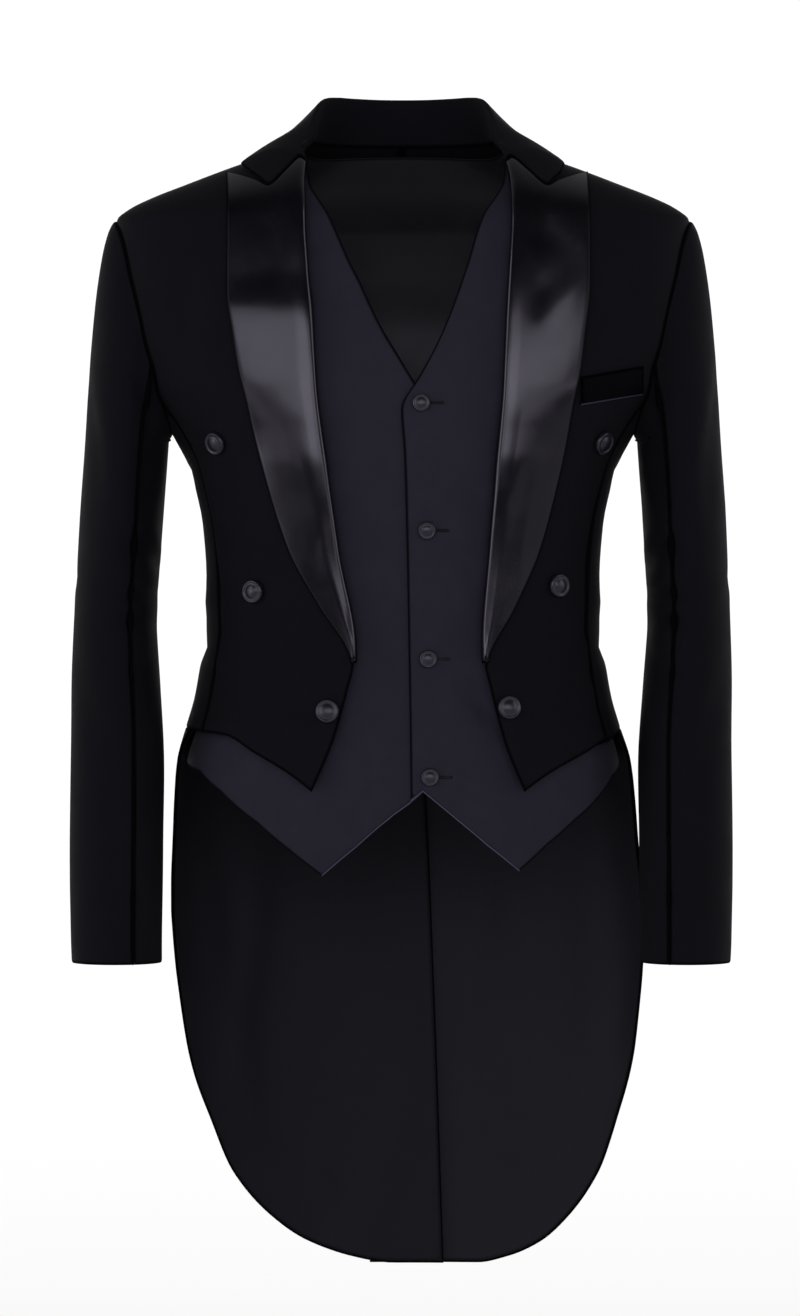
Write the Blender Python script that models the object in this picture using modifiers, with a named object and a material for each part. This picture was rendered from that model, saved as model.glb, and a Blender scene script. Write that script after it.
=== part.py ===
"""Tailcoat suit: a double-breasted tailcoat worn open over a single-breasted waistcoat.

Both garments are hollow and keep the pose of a wearer who isn't there. Metres, +Z up, front towards -Y,
with the origin in the middle of the base of the neck. Left and right are the wearer's, so left is +X.
Tables and sizes are in millimetres and MM turns them into metres. A place on the cloth is given by an
angle round the body, 0 at the centre front, 90 at the left side and 180 at the centre back, and a height.
"""

import bmesh
import bpy
import numpy as np
from mathutils import Vector

MM = 0.001
LEFT, RIGHT = 1, -1
SIDES = (("left", LEFT), ("right", RIGHT))

COAT_WALL = 1.8
LAPEL_WALL = 1.8
LINING_WALL = 1.0
VEST_WALL = 1.5
VEST_INSET = 9.0
SEAM_DEG = 0.2
SHOULDER_DEG = 0.07
SEAM_GAP = 0.5
SLEEVE_GAP = 0.8
COLLAR_GAP = 0.8
COAT_BUTTON_SEAT = 0.6
VEST_BUTTON_SEAT = 0.35

SECTION_POWER = 2.3

# Horizontal sections of the form: height, half width, depth to the front, depth to the back.
FORM = np.array([
    (22, 58, 42, 48), (14, 72, 48, 56), (8, 84, 52, 60), (0, 100, 58, 66), (-8, 122, 63, 72),
    (-18, 150, 70, 80), (-31, 184, 78, 90), (-42, 212, 84, 97), (-51, 230, 88, 102),
    (-60, 240, 91, 106), (-100, 241, 101, 116), (-150, 238, 110, 124), (-200, 223, 116, 126),
    (-225, 204, 117, 125), (-240, 193, 117, 124), (-258, 183, 117, 122), (-286, 174, 116, 118),
    (-316, 168, 113, 113), (-360, 165, 109, 105), (-403, 165, 106, 98), (-432, 170, 105, 95),
    (-460, 175, 105, 96), (-484, 182, 107, 100), (-511, 190, 109, 108), (-565, 198, 110, 116),
    (-620, 203, 109, 121), (-700, 205, 108, 124), (-960, 205, 108, 128),
], float)

# How far the centre line hangs to the wearer's left: height, shift.
FRONT_DRIFT = np.array([
    (22, 0), (2, 0), (-14, 2.5), (-60, 4.5), (-112, 4.5), (-220, 6), (-337, 9), (-428, 13.5), (-541, 12.5),
    (-610, 14),
], float)
BACK_DRIFT = np.array([(22, 0), (-250, 2), (-430, 10), (-484, 15), (-540, 20), (-700, 27), (-960, 36)], float)

# The coat front's inner edge, which is the lapel's crease down to its end: height, half distance.
CREASE = np.array([
    (22, 66), (10, 74), (4, 78.5), (-3, 82), (-14, 85.5), (-35, 87.5), (-70, 87), (-100, 85.2),
    (-165, 81.5), (-233, 77), (-337, 65), (-428, 53.5), (-454, 59), (-496, 70.5), (-529, 84), (-542, 90),
], float)
LAPEL_END = -431
# How far the front's edge lies inside the roll: heights, distances.
TUCK = ((LAPEL_END, LAPEL_END + 25, -14, -6), (0.7, 3.4, 3.4, 6.5))
LAPEL_OUTER = np.array([
    (-10, 149.5), (-60, 149.5), (-112, 149.5), (-127, 149), (-158, 145), (-189, 140.5), (-220, 133),
    (-251, 126), (-337, 103), (-384, 80.7), (-428, 57), (-436, 56),
], float)
# The lapel's top edge, from the crease by the notch to the peak: share of its width, height.
LAPEL_TOP = np.array([(0, -14), (0.42, -37.5), (0.67, -30.5), (0.84, -25), (1, -22)], float)
# Cross-section of the rolled edge, from inside the coat round to its face: into the lapel, lift.
ROLL = np.array([(9, -4.8), (3, -5.0), (-1.6, -3.7), (-2.6, -1.1), (-1.2, 1.9), (3, 3.7)], float)
# Cross-section of the lapel's face: share of its width, lift of its outer side from the coat.
LAPEL_FACE = np.array([(0.2, 4.7), (0.42, 4.2), (0.6, 3.9), (0.8, 3.7), (1, 3.6)], float)
# The collar's front end: share of the lapel's width, rise above the lapel's top edge, lift.
COLLAR_END = np.array([(0.2, 0.8, 4.9), (0.42, 0.8, 4.4), (0.53, 3, 4.2), (0.63, 6.5, 4.0)], float)

# The armhole: height, angle of its front edge, angle of its back edge.
ARMHOLE = np.array([
    (-60, 90, 90), (-66, 81, 99), (-75, 76, 104), (-90, 72, 107), (-108, 69, 110), (-130, 66, 112),
    (-155, 64, 113.5), (-185, 63.5, 113), (-215, 69, 111),
], float)
# The side body's top edge, under the arm: angle, height.
UNDERARM = np.array([(69, -215), (79, -234), (90, -240), (101, -234), (111, -215)], float)
FRONT_SEAM = np.array([(-215, 69), (-250, 70), (-335, 68), (-403, 66), (-500, 64)], float)
BACK_SEAM = np.array([(-215, 111), (-250, 115), (-335, 124), (-403, 131), (-484, 138)], float)
# The coat's waist seam on each side: angle, height.
WAIST = {
    LEFT: np.array([(64, -497), (80, -488), (95, -484), (120, -481), (180, -478)], float),
    RIGHT: np.array([(64, -488), (80, -485.5), (95, -483.5), (120, -481), (180, -478)], float),
}
# The front's lower edge, from its point to the side: distance from the drifted middle, height.
FRONT_HEM = np.array([(80, -543), (90, -537), (112, -523), (143, -504.5), (163, -491), (200, -486)], float)
TORSO_ROWS = (
    10, 4, -3, -10, -18, -28, -40, -51, -60, -66, -75, -90, -108, -130, -155, -185, -215, -250, -290,
    -335, -380, -430,
)
ROWS_TO_WAIST = 3

# The tail's front edge by height and angle, and its rounded hem by distance from the middle and height.
TAIL_EDGE = np.array([
    (-478, 74), (-488, 78), (-500, 84), (-515, 90), (-545, 96.5), (-600, 101), (-700, 103), (-960, 104),
], float)
TAIL_HEM = np.array([
    (0, -947), (37, -947), (68, -941), (99, -928), (127, -905), (155, -866), (172, -818), (186, -766),
    (194, -700), (199, -625),
], float)
# The tails' front edges lean out by this much at the hem, over this height.
TAIL_LEAN = 8
TAIL_LEAN_FROM = -480
TAIL_LEAN_HEIGHT = 350
TAIL_ROWS = 12
TAIL_COLUMNS = (0, 0.05, 0.12, 0.22, 0.34, 0.47, 0.61, 0.75, 0.88, 1)
# The left tail laps past the vent by this share of its width, and the right one steps in under it.
VENT_LAP = 0.2
VENT_LAP_DROP = 3
VENT_STEP = 5.4
VENT_STEP_FROM = 0.66
VENT_STEP_RAMP = 0.15
LINING_MARGIN = 0.03
LINING_GAP = 0.9
LINING_RISE = 7

# The sleeve below the armhole: height, middle and half width across, middle and half depth front to back.
SLEEVE = np.array([
    (-250, 232, 35, 2, 72), (-307, 236, 35, -1, 68), (-365, 239.5, 34.5, -5, 63),
    (-403, 241, 35, -9, 60), (-451, 240, 37, -15, 57), (-499, 239, 38.5, -22, 54),
    (-588, 239, 39, -33, 51), (-655, 238.6, 38, -42, 49), (-680, 238, 37.5, -46, 49),
], float)
SLEEVE_CAP_SHARES = (0, 0.07, 0.17, 0.3, 0.48, 0.72)
SLEEVE_HEAD = 26
SLEEVE_SEAM_HALF = 0.8
SLEEVE_CAP_SEAM_HALF = 1.5
FRONT_SLEEVE_SEAM = 7
BACK_SLEEVE_SEAM = 14
# The left sleeve hangs this much closer to the body, from this height over this length.
LEFT_SLEEVE_IN = 3
LEFT_SLEEVE_FROM = -300
LEFT_SLEEVE_RAMP = 200

# The collar round the neck: seam angle and height, stand's inset, fold x, y and z, edge angle and height,
# bulge.
COLLAR = np.array([
    (46, -9, 10, 83, -53, -5, 59, -19, 3), (51, -5, 10, 80, -43, 3, 68, -14.5, 4),
    (64, 3, 9, 76.5, -28, 17, 84, -9.5, 3), (79, 9, 6.8, 72.5, -11, 31, 94, -8, -1),
    (96, 10, 5.2, 67, 7, 41, 103, -7, -2), (116, 10, 4.5, 58, 26, 44, 118, -6, -2),
    (136, 10, 4.5, 43, 42, 44.5, 136, -6, -2), (158, 10, 4.5, 22, 53, 44.5, 157, -6, -2),
    (180, 10, 4.5, 0, 56, 44.5, 180, -6, -2),
], float)
STAND_DIP = 4
COLLAR_LIFT = 4.0
FOLD_HALF = 2.5
FOLD_RISE = 1.6
FALL_SHARES = (0.08, 0.3, 0.55, 0.78, 1)

# The waistcoat: heights and inner edges of the front that laps over and of the one under it.
VEST_TOP = -3
VEST_BACK_TOP = 6
VEST_ROWS = 18
VEST_OVER_EDGE = np.array([
    (22, 84), (6, 85), (-10, 86), (-28, 83.5), (-42, 76), (-55, 68), (-75, 60.5), (-96, 54.6), (-116, 48),
    (-136, 41), (-156, 33), (-176, 23.5), (-197, 12), (-222, -1.7), (-260, 0.8), (-337, 3), (-444, 5),
    (-508, 6), (-620, 7),
], float)
VEST_UNDER_EDGE = np.array([
    (22, -79), (6, -80), (-10, -81), (-28, -78), (-42, -70.5), (-55, -63), (-75, -54), (-96, -45),
    (-116, -35), (-136, -26), (-156, -16), (-176, -4), (-197, 8.4), (-215, 20), (-240, 27), (-337, 32),
    (-508, 34), (-620, 34),
], float)
# The waistcoat's armhole by height and angle, then its side seam.
VEST_ARMHOLE = np.array([
    (22, 90), (-16, 90), (-20, 78), (-27, 64), (-40, 50), (-60, 41), (-100, 39), (-150, 41), (-200, 52),
    (-230, 66), (-250, 79), (-262, 90), (-620, 90),
], float)
# Each front's hem from its inner edge over its point to the side, straight between these: x, height.
VEST_OVER_HEM = np.array([
    (7, -545), (17, -537), (31, -548.5), (45, -560), (72, -582.5), (98, -603), (122, -582), (146, -562),
    (170, -541), (182, -525), (190, -511),
], float)
VEST_UNDER_HEM = np.array([
    (34, -529), (17, -537), (-10, -559), (-38, -583), (-67, -607), (-95, -586.5), (-123, -564),
    (-156, -538), (-176, -521), (-190, -512),
], float)
VEST_BACK_HEM = -511
VEST_BACK_EASE = 4.0
VEST_BACK_EASE_RAMP = 30
VEST_LAP_STEP = 2.6
# Angle at which the under front starts to step in, and how many degrees that takes.
VEST_LAP_FROM = -12
VEST_LAP_RAMP = 10

# The breast pocket's welt: its ends across, the height of its top there, how tall it is, its lift.
WELT = {"from_x": 146, "to_x": 198, "top": -195.5, "rise": 10.5, "tall": 23, "lift": 2.6, "wall": 1.9}

# Button profile from the crown to the back: radius, height, as shares of the button's radius.
BUTTON_PROFILE = ((0, 0.6), (0.45, 0.55), (0.8, 0.36), (1, 0.1), (0.92, 0), (0, 0))
BUTTON_STEPS = 14
COAT_BUTTON_RADIUS = 10
VEST_BUTTON_RADIUS = 7.5
# Button places: number, side of the coat and x, z of each.
COAT_BUTTONS = (
    ("left", 1, 165, -248), ("left", 2, 128, -367), ("left", 3, 87, -468),
    ("right", 1, -154, -249), ("right", 2, -123, -372), ("right", 3, -62, -471),
)
VEST_BUTTONS = ((15, -217), (20, -323), (21, -428), (22.5, -525))


def smooth(table, at, column=1):
    """The table's column at these places of its first column, on a curve that never overshoots."""
    order = np.argsort(table[:, 0])
    xs = table[order, 0]
    ys = table[order, column]
    at = np.clip(np.asarray(at, float), xs[0], xs[-1])
    steps = np.diff(xs)
    rise = np.diff(ys) / steps
    slope = np.concatenate([rise[:1], np.zeros(len(xs) - 2), rise[-1:]])
    same_way = rise[:-1] * rise[1:] > 0
    inner = np.where(same_way, rise[:-1] + rise[1:], 1)
    slope[1:-1] = np.where(same_way, 2 * rise[:-1] * rise[1:] / inner, 0)
    i = np.clip(np.searchsorted(xs, at) - 1, 0, len(xs) - 2)
    t = (at - xs[i]) / steps[i]
    start = (1 + 2 * t) * (1 - t) ** 2 * ys[i] + t * (1 - t) ** 2 * steps[i] * slope[i]
    end = t * t * (3 - 2 * t) * ys[i + 1] + t * t * (t - 1) * steps[i] * slope[i + 1]
    return start + end


def bare_form(angle, z):
    """Points on the form at these angles in degrees and heights."""
    angle, z = np.broadcast_arrays(np.asarray(angle, float), np.asarray(z, float))
    s = np.sin(np.radians(angle))
    c = np.cos(np.radians(angle))
    half, front, back = (smooth(FORM, z, column) for column in (1, 2, 3))
    share = 2 / SECTION_POWER
    x = half * np.sign(s) * np.abs(s) ** share
    y = -np.where(c > 0, front, back) * np.sign(c) * np.abs(c) ** share
    return np.stack([x, y, z], axis=-1)


def form_normal(angle, z):
    round_body = bare_form(np.asarray(angle) + 0.4, z) - bare_form(np.asarray(angle) - 0.4, z)
    up_body = bare_form(angle, np.asarray(z) + 1) - bare_form(angle, np.asarray(z) - 1)
    normal = np.cross(round_body, up_body)
    return normal / np.linalg.norm(normal, axis=-1, keepdims=True)


def form(angle, z, lift=0):
    """Points on the form, moved out along its normal by lift."""
    return bare_form(angle, z) + np.asarray(lift, float)[..., None] * form_normal(angle, z)


def front_angle(x, z):
    """The angle at which the form's front has this x."""
    share = np.clip(np.abs(x) / smooth(FORM, z), 0, 0.99999) ** (SECTION_POWER / 2)
    return np.sign(x) * np.degrees(np.arcsin(share))


def back_angle(x, z):
    return 180 - front_angle(x, z)


def front_x(table, z, side):
    return smooth(FRONT_DRIFT, z) + side * smooth(table, z)


def between(start, end, share):
    return start + (end - start) * share


def material(name, colour, roughness, sheen=0.0):
    made = bpy.data.materials.new(name)
    made.use_nodes = True
    shader = made.node_tree.nodes["Principled BSDF"]
    shader.inputs["Base Color"].default_value = (*colour, 1)
    shader.inputs["Roughness"].default_value = roughness
    shader.inputs["Metallic"].default_value = 0
    shader.inputs["Sheen Weight"].default_value = sheen
    return made


def add_object(name, mesh, finish, collection):
    thing = bpy.data.objects.new(name, mesh)
    mesh.materials.append(finish)
    collection.objects.link(thing)
    return thing


def cloth(name, points, wall, finish, collection):
    """A wall of cloth whose outer face passes through a grid of points, rows running down it."""
    rows, columns = points.shape[:2]
    grid = bmesh.new()
    bmesh.ops.create_grid(grid, x_segments=columns - 1, y_segments=rows - 1, size=1)
    for vertex in grid.verts:
        column = round((vertex.co.x + 1) / 2 * (columns - 1))
        row = round((vertex.co.y + 1) / 2 * (rows - 1))
        vertex.co = Vector(points[row, column] * MM)
    bmesh.ops.reverse_faces(grid, faces=grid.faces)
    mesh = bpy.data.meshes.new(name)
    grid.to_mesh(mesh)
    grid.free()
    mesh.shade_smooth()
    thing = add_object(name, mesh, finish, collection)
    solid = thing.modifiers.new("wall", "SOLIDIFY")
    solid.thickness = wall * MM
    solid.offset = -1
    return thing


def mirrored(points, side):
    """The left half as it is, or its copy on the right with the columns turned round."""
    if side == LEFT:
        return points
    return points[:, ::-1] * (-1, 1, 1)


def torso_rows(foot):
    """Heights of a panel's rows, one column of them for each foot height."""
    foot = np.atleast_1d(foot)
    down = np.arange(1, ROWS_TO_WAIST + 1)[:, None] / ROWS_TO_WAIST
    fixed = np.repeat(np.array(TORSO_ROWS, float)[:, None], len(foot), axis=1)
    return np.concatenate([fixed, between(TORSO_ROWS[-1], foot, down)])


def front_outer(z):
    """The coat front's outer edge: shoulder seam, armhole, then the seam to the side body."""
    armhole = smooth(ARMHOLE, z, 1)
    below = smooth(FRONT_SEAM, z)
    return np.where(z > ARMHOLE[0, 0] - 0.01, 90, np.where(z < ARMHOLE[-1, 0] + 0.01, below, armhole))


def seam_half(z):
    """Half the gap at a panel's outer edge, which is finer along the shoulder."""
    return np.where(z > ARMHOLE[0, 0] - 0.01, SHOULDER_DEG, SEAM_DEG)


def back_outer(z):
    armhole = smooth(ARMHOLE, z, 2)
    below = smooth(BACK_SEAM, z)
    return np.where(z > ARMHOLE[0, 0] - 0.01, 90, np.where(z < ARMHOLE[-1, 0] + 0.01, below, armhole))


def front_foot(angle, side):
    """Height of the front's lower edge at these angles, found in a few rounds."""
    z = np.full(np.shape(angle), WAIST[side][0, 1])
    for _ in range(4):
        x = side * bare_form(angle, z)[..., 0]
        z = smooth(FRONT_HEM, np.abs(x - smooth(FRONT_DRIFT, z)))
    return z


def make_coat_fronts(finish, collection):
    """Each front turns under its lapel at the crease and runs to a point below the waist."""
    across = np.linspace(0, 1, 8)
    for side_name, side in SIDES:
        edge_now = np.abs(front_angle(front_x(CREASE, FRONT_HEM[0, 1], side), FRONT_HEM[0, 1]))
        foot = front_foot(between(edge_now, FRONT_SEAM[-1, 1], across), side)
        z = torso_rows(foot)
        tuck = np.interp(z, *TUCK)
        edge_x = front_x(CREASE, z, side) + side * np.where(z < LAPEL_END, 0, tuck)
        inner = np.abs(front_angle(edge_x, z))
        outer = front_outer(z) - seam_half(z)
        points = form(between(np.minimum(inner, outer - 2), outer, across), z)
        cloth(f"coat_front_{side_name}", mirrored(points, side), COAT_WALL, finish, collection)


def make_side_bodies(finish, collection):
    """The narrow panel under each arm."""
    across = np.linspace(0, 1, len(UNDERARM))
    waist_angles = between(FRONT_SEAM[-1, 1], BACK_SEAM[-1, 1], across)
    for side_name, side in SIDES:
        z = torso_rows(smooth(WAIST[side], waist_angles))[TORSO_ROWS.index(-215):]
        z[0] = UNDERARM[:, 1]
        front = smooth(FRONT_SEAM, z) + SEAM_DEG
        back = smooth(BACK_SEAM, z) - SEAM_DEG
        points = form(between(front, back, across), z)
        cloth(f"coat_side_body_{side_name}", mirrored(points, side), COAT_WALL, finish, collection)


def make_coat_backs(finish, collection):
    """Two back panels that meet in the centre back seam, from the neck to the waist seam."""
    across = np.linspace(0, 1, 7)
    for side_name, side in SIDES:
        z = torso_rows(smooth(WAIST[side], between(BACK_SEAM[-1, 1], 180, across)))
        outer = back_outer(z) + seam_half(z)
        middle = back_angle(side * smooth(BACK_DRIFT, z) + SEAM_GAP / 2, z)
        points = form(between(outer, middle, across), z)
        cloth(f"coat_back_{side_name}", mirrored(points, side), COAT_WALL, finish, collection)


def tail_points(side, shift, foot_up, across):
    """A grid over one tail, its columns at these shares from the front edge to the centre vent."""
    across = np.asarray(across)[None, :]
    down = np.linspace(0, 1, TAIL_ROWS + 1)[:, None]
    foot_angle = between(TAIL_EDGE[-1, 1], 180, np.minimum(across, 1))
    foot_x = np.abs(bare_form(foot_angle, TAIL_HEM[-1, 1])[..., 0])
    foot = smooth(TAIL_HEM, foot_x) + foot_up
    top = smooth(WAIST[side], between(TAIL_EDGE[0, 1], 180, np.minimum(across, 1))) - SEAM_GAP
    top = top - VENT_LAP_DROP * (across > 1)
    z = between(top, foot, down)
    edge = smooth(TAIL_EDGE, z)
    vent = back_angle(side * smooth(BACK_DRIFT, z) + SEAM_GAP / 2, z)
    angle = between(edge, vent, across)
    step = np.zeros_like(z)
    if side == RIGHT:
        step -= VENT_STEP * np.clip((across - VENT_STEP_FROM) / VENT_STEP_RAMP, 0, 1)
    points = form(angle, z, step + shift)
    lean = TAIL_LEAN * np.clip((TAIL_LEAN_FROM - z) / TAIL_LEAN_HEIGHT, 0, 1) * np.clip(1 - across, 0, 1)
    points[..., 0] += side * lean
    return mirrored(points, side)


def make_tails(finish, lining_finish, collection):
    """The tails hang from the waist seam, lap over at the centre vent and are lined."""
    outer = np.array(TAIL_COLUMNS, float)
    inner = np.concatenate([[LINING_MARGIN], outer[1:-1], [1 - LINING_MARGIN / 2]])
    for side_name, side in SIDES:
        across = np.append(outer, 1 + VENT_LAP) if side == LEFT else outer
        points = tail_points(side, 0, 0, across)
        cloth(f"coat_tail_{side_name}", points, COAT_WALL, finish, collection)
        points = tail_points(side, -COAT_WALL - LINING_GAP, LINING_RISE, inner)
        cloth(f"tail_lining_{side_name}", points, LINING_WALL, lining_finish, collection)


def armhole_ring():
    """Points round the left armhole, from the shoulder down the front, under the arm and up the back."""
    rows = [z for z in TORSO_ROWS if ARMHOLE[-1, 0] <= z <= ARMHOLE[0, 0]]
    front = [(float(front_outer(np.array(z, float))), z) for z in rows]
    under = [(angle, z) for angle, z in UNDERARM[1:-1]]
    back = [(float(back_outer(np.array(z, float))), z) for z in rows[:0:-1]]
    angle, z = np.array(front + under + back).T
    return form(angle, z) + (SLEEVE_GAP, 0, 0)


def sleeve_rings():
    """The left sleeve: rings from the armhole over the sleeve head and down to the cuff."""
    start = armhole_ring()
    turn = np.linspace(0, 2 * np.pi, len(start), endpoint=False)
    rings = []
    for z, x_mid, x_half, y_mid, y_half in SLEEVE:
        across = x_mid + x_half * np.cos(turn)
        rings.append(np.stack([across, y_mid - y_half * np.sin(turn), np.full(len(turn), z)], 1))
    head = np.clip(np.cos(turn), 0, 1)[:, None]
    ahead = rings[0] - start
    ahead /= np.linalg.norm(ahead, axis=1, keepdims=True)
    leave = between(ahead, np.array([0.94, 0, -0.34]), head) * SLEEVE_HEAD * 2
    reach = np.linalg.norm(rings[0] - start, axis=1)[:, None]
    arrive = np.array([0.05, 0, -1]) * reach * 0.9
    cap = []
    for t in SLEEVE_CAP_SHARES:
        held = (1 + 2 * t) * (1 - t) ** 2 * start + t * (1 - t) ** 2 * leave
        cap.append(held + t * t * (3 - 2 * t) * rings[0] + t * t * (t - 1) * arrive)
    return np.array(cap + rings)


def make_sleeves(finish, collection):
    """A top sleeve and an under sleeve, joined by a front and a back seam."""
    rings = sleeve_rings()
    count = rings.shape[1]
    in_cap = np.arange(len(rings))[:, None] < len(SLEEVE_CAP_SHARES)
    seam_half_width = np.where(in_cap, SLEEVE_CAP_SEAM_HALF, SLEEVE_SEAM_HALF)
    top = np.arange(BACK_SLEEVE_SEAM - count, FRONT_SLEEVE_SEAM + 1)
    under = np.arange(FRONT_SLEEVE_SEAM, BACK_SLEEVE_SEAM + 1)
    for piece, picked in (("top_sleeve", top), ("under_sleeve", under)):
        points = rings[:, picked % count].copy()
        for end, inward in ((0, 1), (-1, -2)):
            along = points[:, inward] - points[:, end]
            along /= np.linalg.norm(along, axis=1, keepdims=True)
            points[:, end] += along * seam_half_width
        for side_name, side in SIDES:
            # The sleeve's columns run from the back over the shoulder to the front, against the body's.
            placed = mirrored(points[:, ::-1], side).copy()
            if side == LEFT:
                lowered = np.clip((LEFT_SLEEVE_FROM - placed[..., 2]) / LEFT_SLEEVE_RAMP, 0, 1)
                placed[..., 0] -= LEFT_SLEEVE_IN * lowered
            cloth(f"{piece}_{side_name}", placed, COAT_WALL, finish, collection)


def roll_columns(side, z, width):
    """Points of the rolled edge at these heights, one column for each row of ROLL."""
    into = ROLL[:, 0] * np.where(ROLL[:, 0] == 3, np.clip(width / 40, 0.1, 1), 1)
    x = front_x(CREASE, z, side) + side * into
    return form(front_angle(x, z), z, ROLL[:, 1] + np.zeros_like(z))


def make_lapels(finish, collection):
    """Peaked lapels: each rolls round the front's edge at the crease and lies on the front."""
    down = (np.linspace(0, 1, 15) ** 1.5)[:, None]
    for side_name, side in SIDES:
        roll_z = between(LAPEL_TOP[0, 1], LAPEL_END, down)
        width = smooth(LAPEL_OUTER, roll_z) - smooth(CREASE, roll_z)
        rolled = roll_columns(side, roll_z + np.zeros(len(ROLL)), width)
        share = LAPEL_FACE[:, 0]
        face_z = between(np.interp(share, LAPEL_TOP[:, 0], LAPEL_TOP[:, 1]), LAPEL_END, down)
        half = between(smooth(CREASE, face_z), smooth(LAPEL_OUTER, face_z), share)
        x = smooth(FRONT_DRIFT, face_z) + side * half
        face = form(front_angle(x, face_z), face_z, LAPEL_FACE[:, 1] + np.zeros_like(face_z))
        points = np.concatenate([rolled, face], axis=1)
        points = points if side == LEFT else points[:, ::-1]
        cloth(f"lapel_{side_name}", points, LAPEL_WALL, finish, collection)


def collar_end(side):
    """The collar's front end, just above the lapel's top edge."""
    z = np.full((1, len(ROLL)), LAPEL_TOP[0, 1] + COLLAR_GAP)
    width = smooth(LAPEL_OUTER, z) - smooth(CREASE, z)
    rolled = roll_columns(side, z, width)[0]
    share, rise, lift = COLLAR_END.T
    face_z = np.interp(share, LAPEL_TOP[:, 0], LAPEL_TOP[:, 1]) + rise
    half = between(smooth(CREASE, face_z), smooth(LAPEL_OUTER, face_z), share)
    face = form(front_angle(smooth(FRONT_DRIFT, face_z) + side * half, face_z), face_z, lift)
    return np.concatenate([rolled, face])


def collar_station(row):
    """One cross-section of the left half of the collar: up the stand, over the fold and down the fall."""
    seam_angle, seam_z, inset, fold_x, fold_y, fold_z, edge_angle, edge_z, bulge = row
    fold = np.array([fold_x, fold_y, fold_z])
    out = form_normal(seam_angle, -100) * (1, 1, 0)
    out /= np.linalg.norm(out)
    foot = bare_form(seam_angle, seam_z) - out * inset - (0, 0, STAND_DIP)
    fold_in = fold - out * FOLD_HALF
    fold_out = fold + out * FOLD_HALF
    top = fold + (0, 0, FOLD_RISE)
    edge = form(edge_angle, edge_z, COLLAR_LIFT)
    lift = form_normal(edge_angle, edge_z)
    fall = [
        between(fold_out, edge, share) + lift * bulge * 4 * share * (1 - share) for share in FALL_SHARES
    ]
    stand = [foot, between(foot, fold_in, 0.55), fold_in, top]
    return np.array(stand + [fold_out] + fall)


def make_collar(finish, collection):
    """One collar round the neck, from notch to notch."""
    left_half = [collar_end(LEFT)] + [collar_station(row) for row in COLLAR]
    right_half = [collar_end(RIGHT)] + [collar_station(row) * (-1, 1, 1) for row in COLLAR[:-1]]
    stations = np.array(left_half + right_half[::-1])
    # Columns run round the neck and rows from the stand's foot to the fall's edge.
    points = np.swapaxes(stations, 0, 1)
    cloth("coat_collar", points, LAPEL_WALL, finish, collection)


def make_welt(finish, collection):
    across = np.linspace(0, 1, 6)[None, :]
    down = np.linspace(0, 1, 4)[:, None]
    x = between(WELT["from_x"], WELT["to_x"], across)
    z = WELT["top"] + WELT["rise"] * across - WELT["tall"] * down
    x = x + np.zeros_like(z)
    points = form(front_angle(x, z), z, WELT["lift"] + np.zeros_like(z))
    cloth("breast_welt", points, WELT["wall"], finish, collection)


def make_button(name, x, z, lift, radius, finish, collection):
    """A domed button turned about its own axis, its back on the cloth."""
    profile = bpy.data.meshes.new(name)
    ring = [(share * radius * MM, 0, height * radius * MM) for share, height in BUTTON_PROFILE]
    profile.from_pydata(ring, [(i, i + 1) for i in range(len(ring) - 1)], [])
    thing = add_object(name, profile, finish, collection)
    turned = thing.modifiers.new("turned", "SCREW")
    turned.steps = BUTTON_STEPS
    turned.render_steps = BUTTON_STEPS
    turned.use_merge_vertices = True
    turned.merge_threshold = 0.00001
    angle = front_angle(x, z)
    normal = form_normal(angle, z)
    middle = form(angle, z, lift)
    turn = np.linspace(0, 2 * np.pi, 8, endpoint=False)
    rim_x = x + radius * np.cos(turn)
    rim_z = z + radius * np.sin(turn)
    rim = form(front_angle(rim_x, rim_z), rim_z, lift + np.zeros(len(turn)))
    seat = max(0, ((rim - middle) @ normal).max())
    normal = Vector(normal)
    thing.location = Vector(middle * MM) + normal * seat * MM
    thing.rotation_euler = normal.to_track_quat("Z", "Y").to_euler()


def make_buttons(finish, collection):
    for side_name, number, x, z in COAT_BUTTONS:
        name = f"coat_button_{side_name}_{number}"
        make_button(name, x, z, COAT_BUTTON_SEAT, COAT_BUTTON_RADIUS, finish, collection)
    for number, (x, z) in enumerate(VEST_BUTTONS, 1):
        lift = VEST_BUTTON_SEAT - VEST_INSET
        make_button(f"waistcoat_button_{number}", x, z, lift, VEST_BUTTON_RADIUS, finish, collection)


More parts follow.
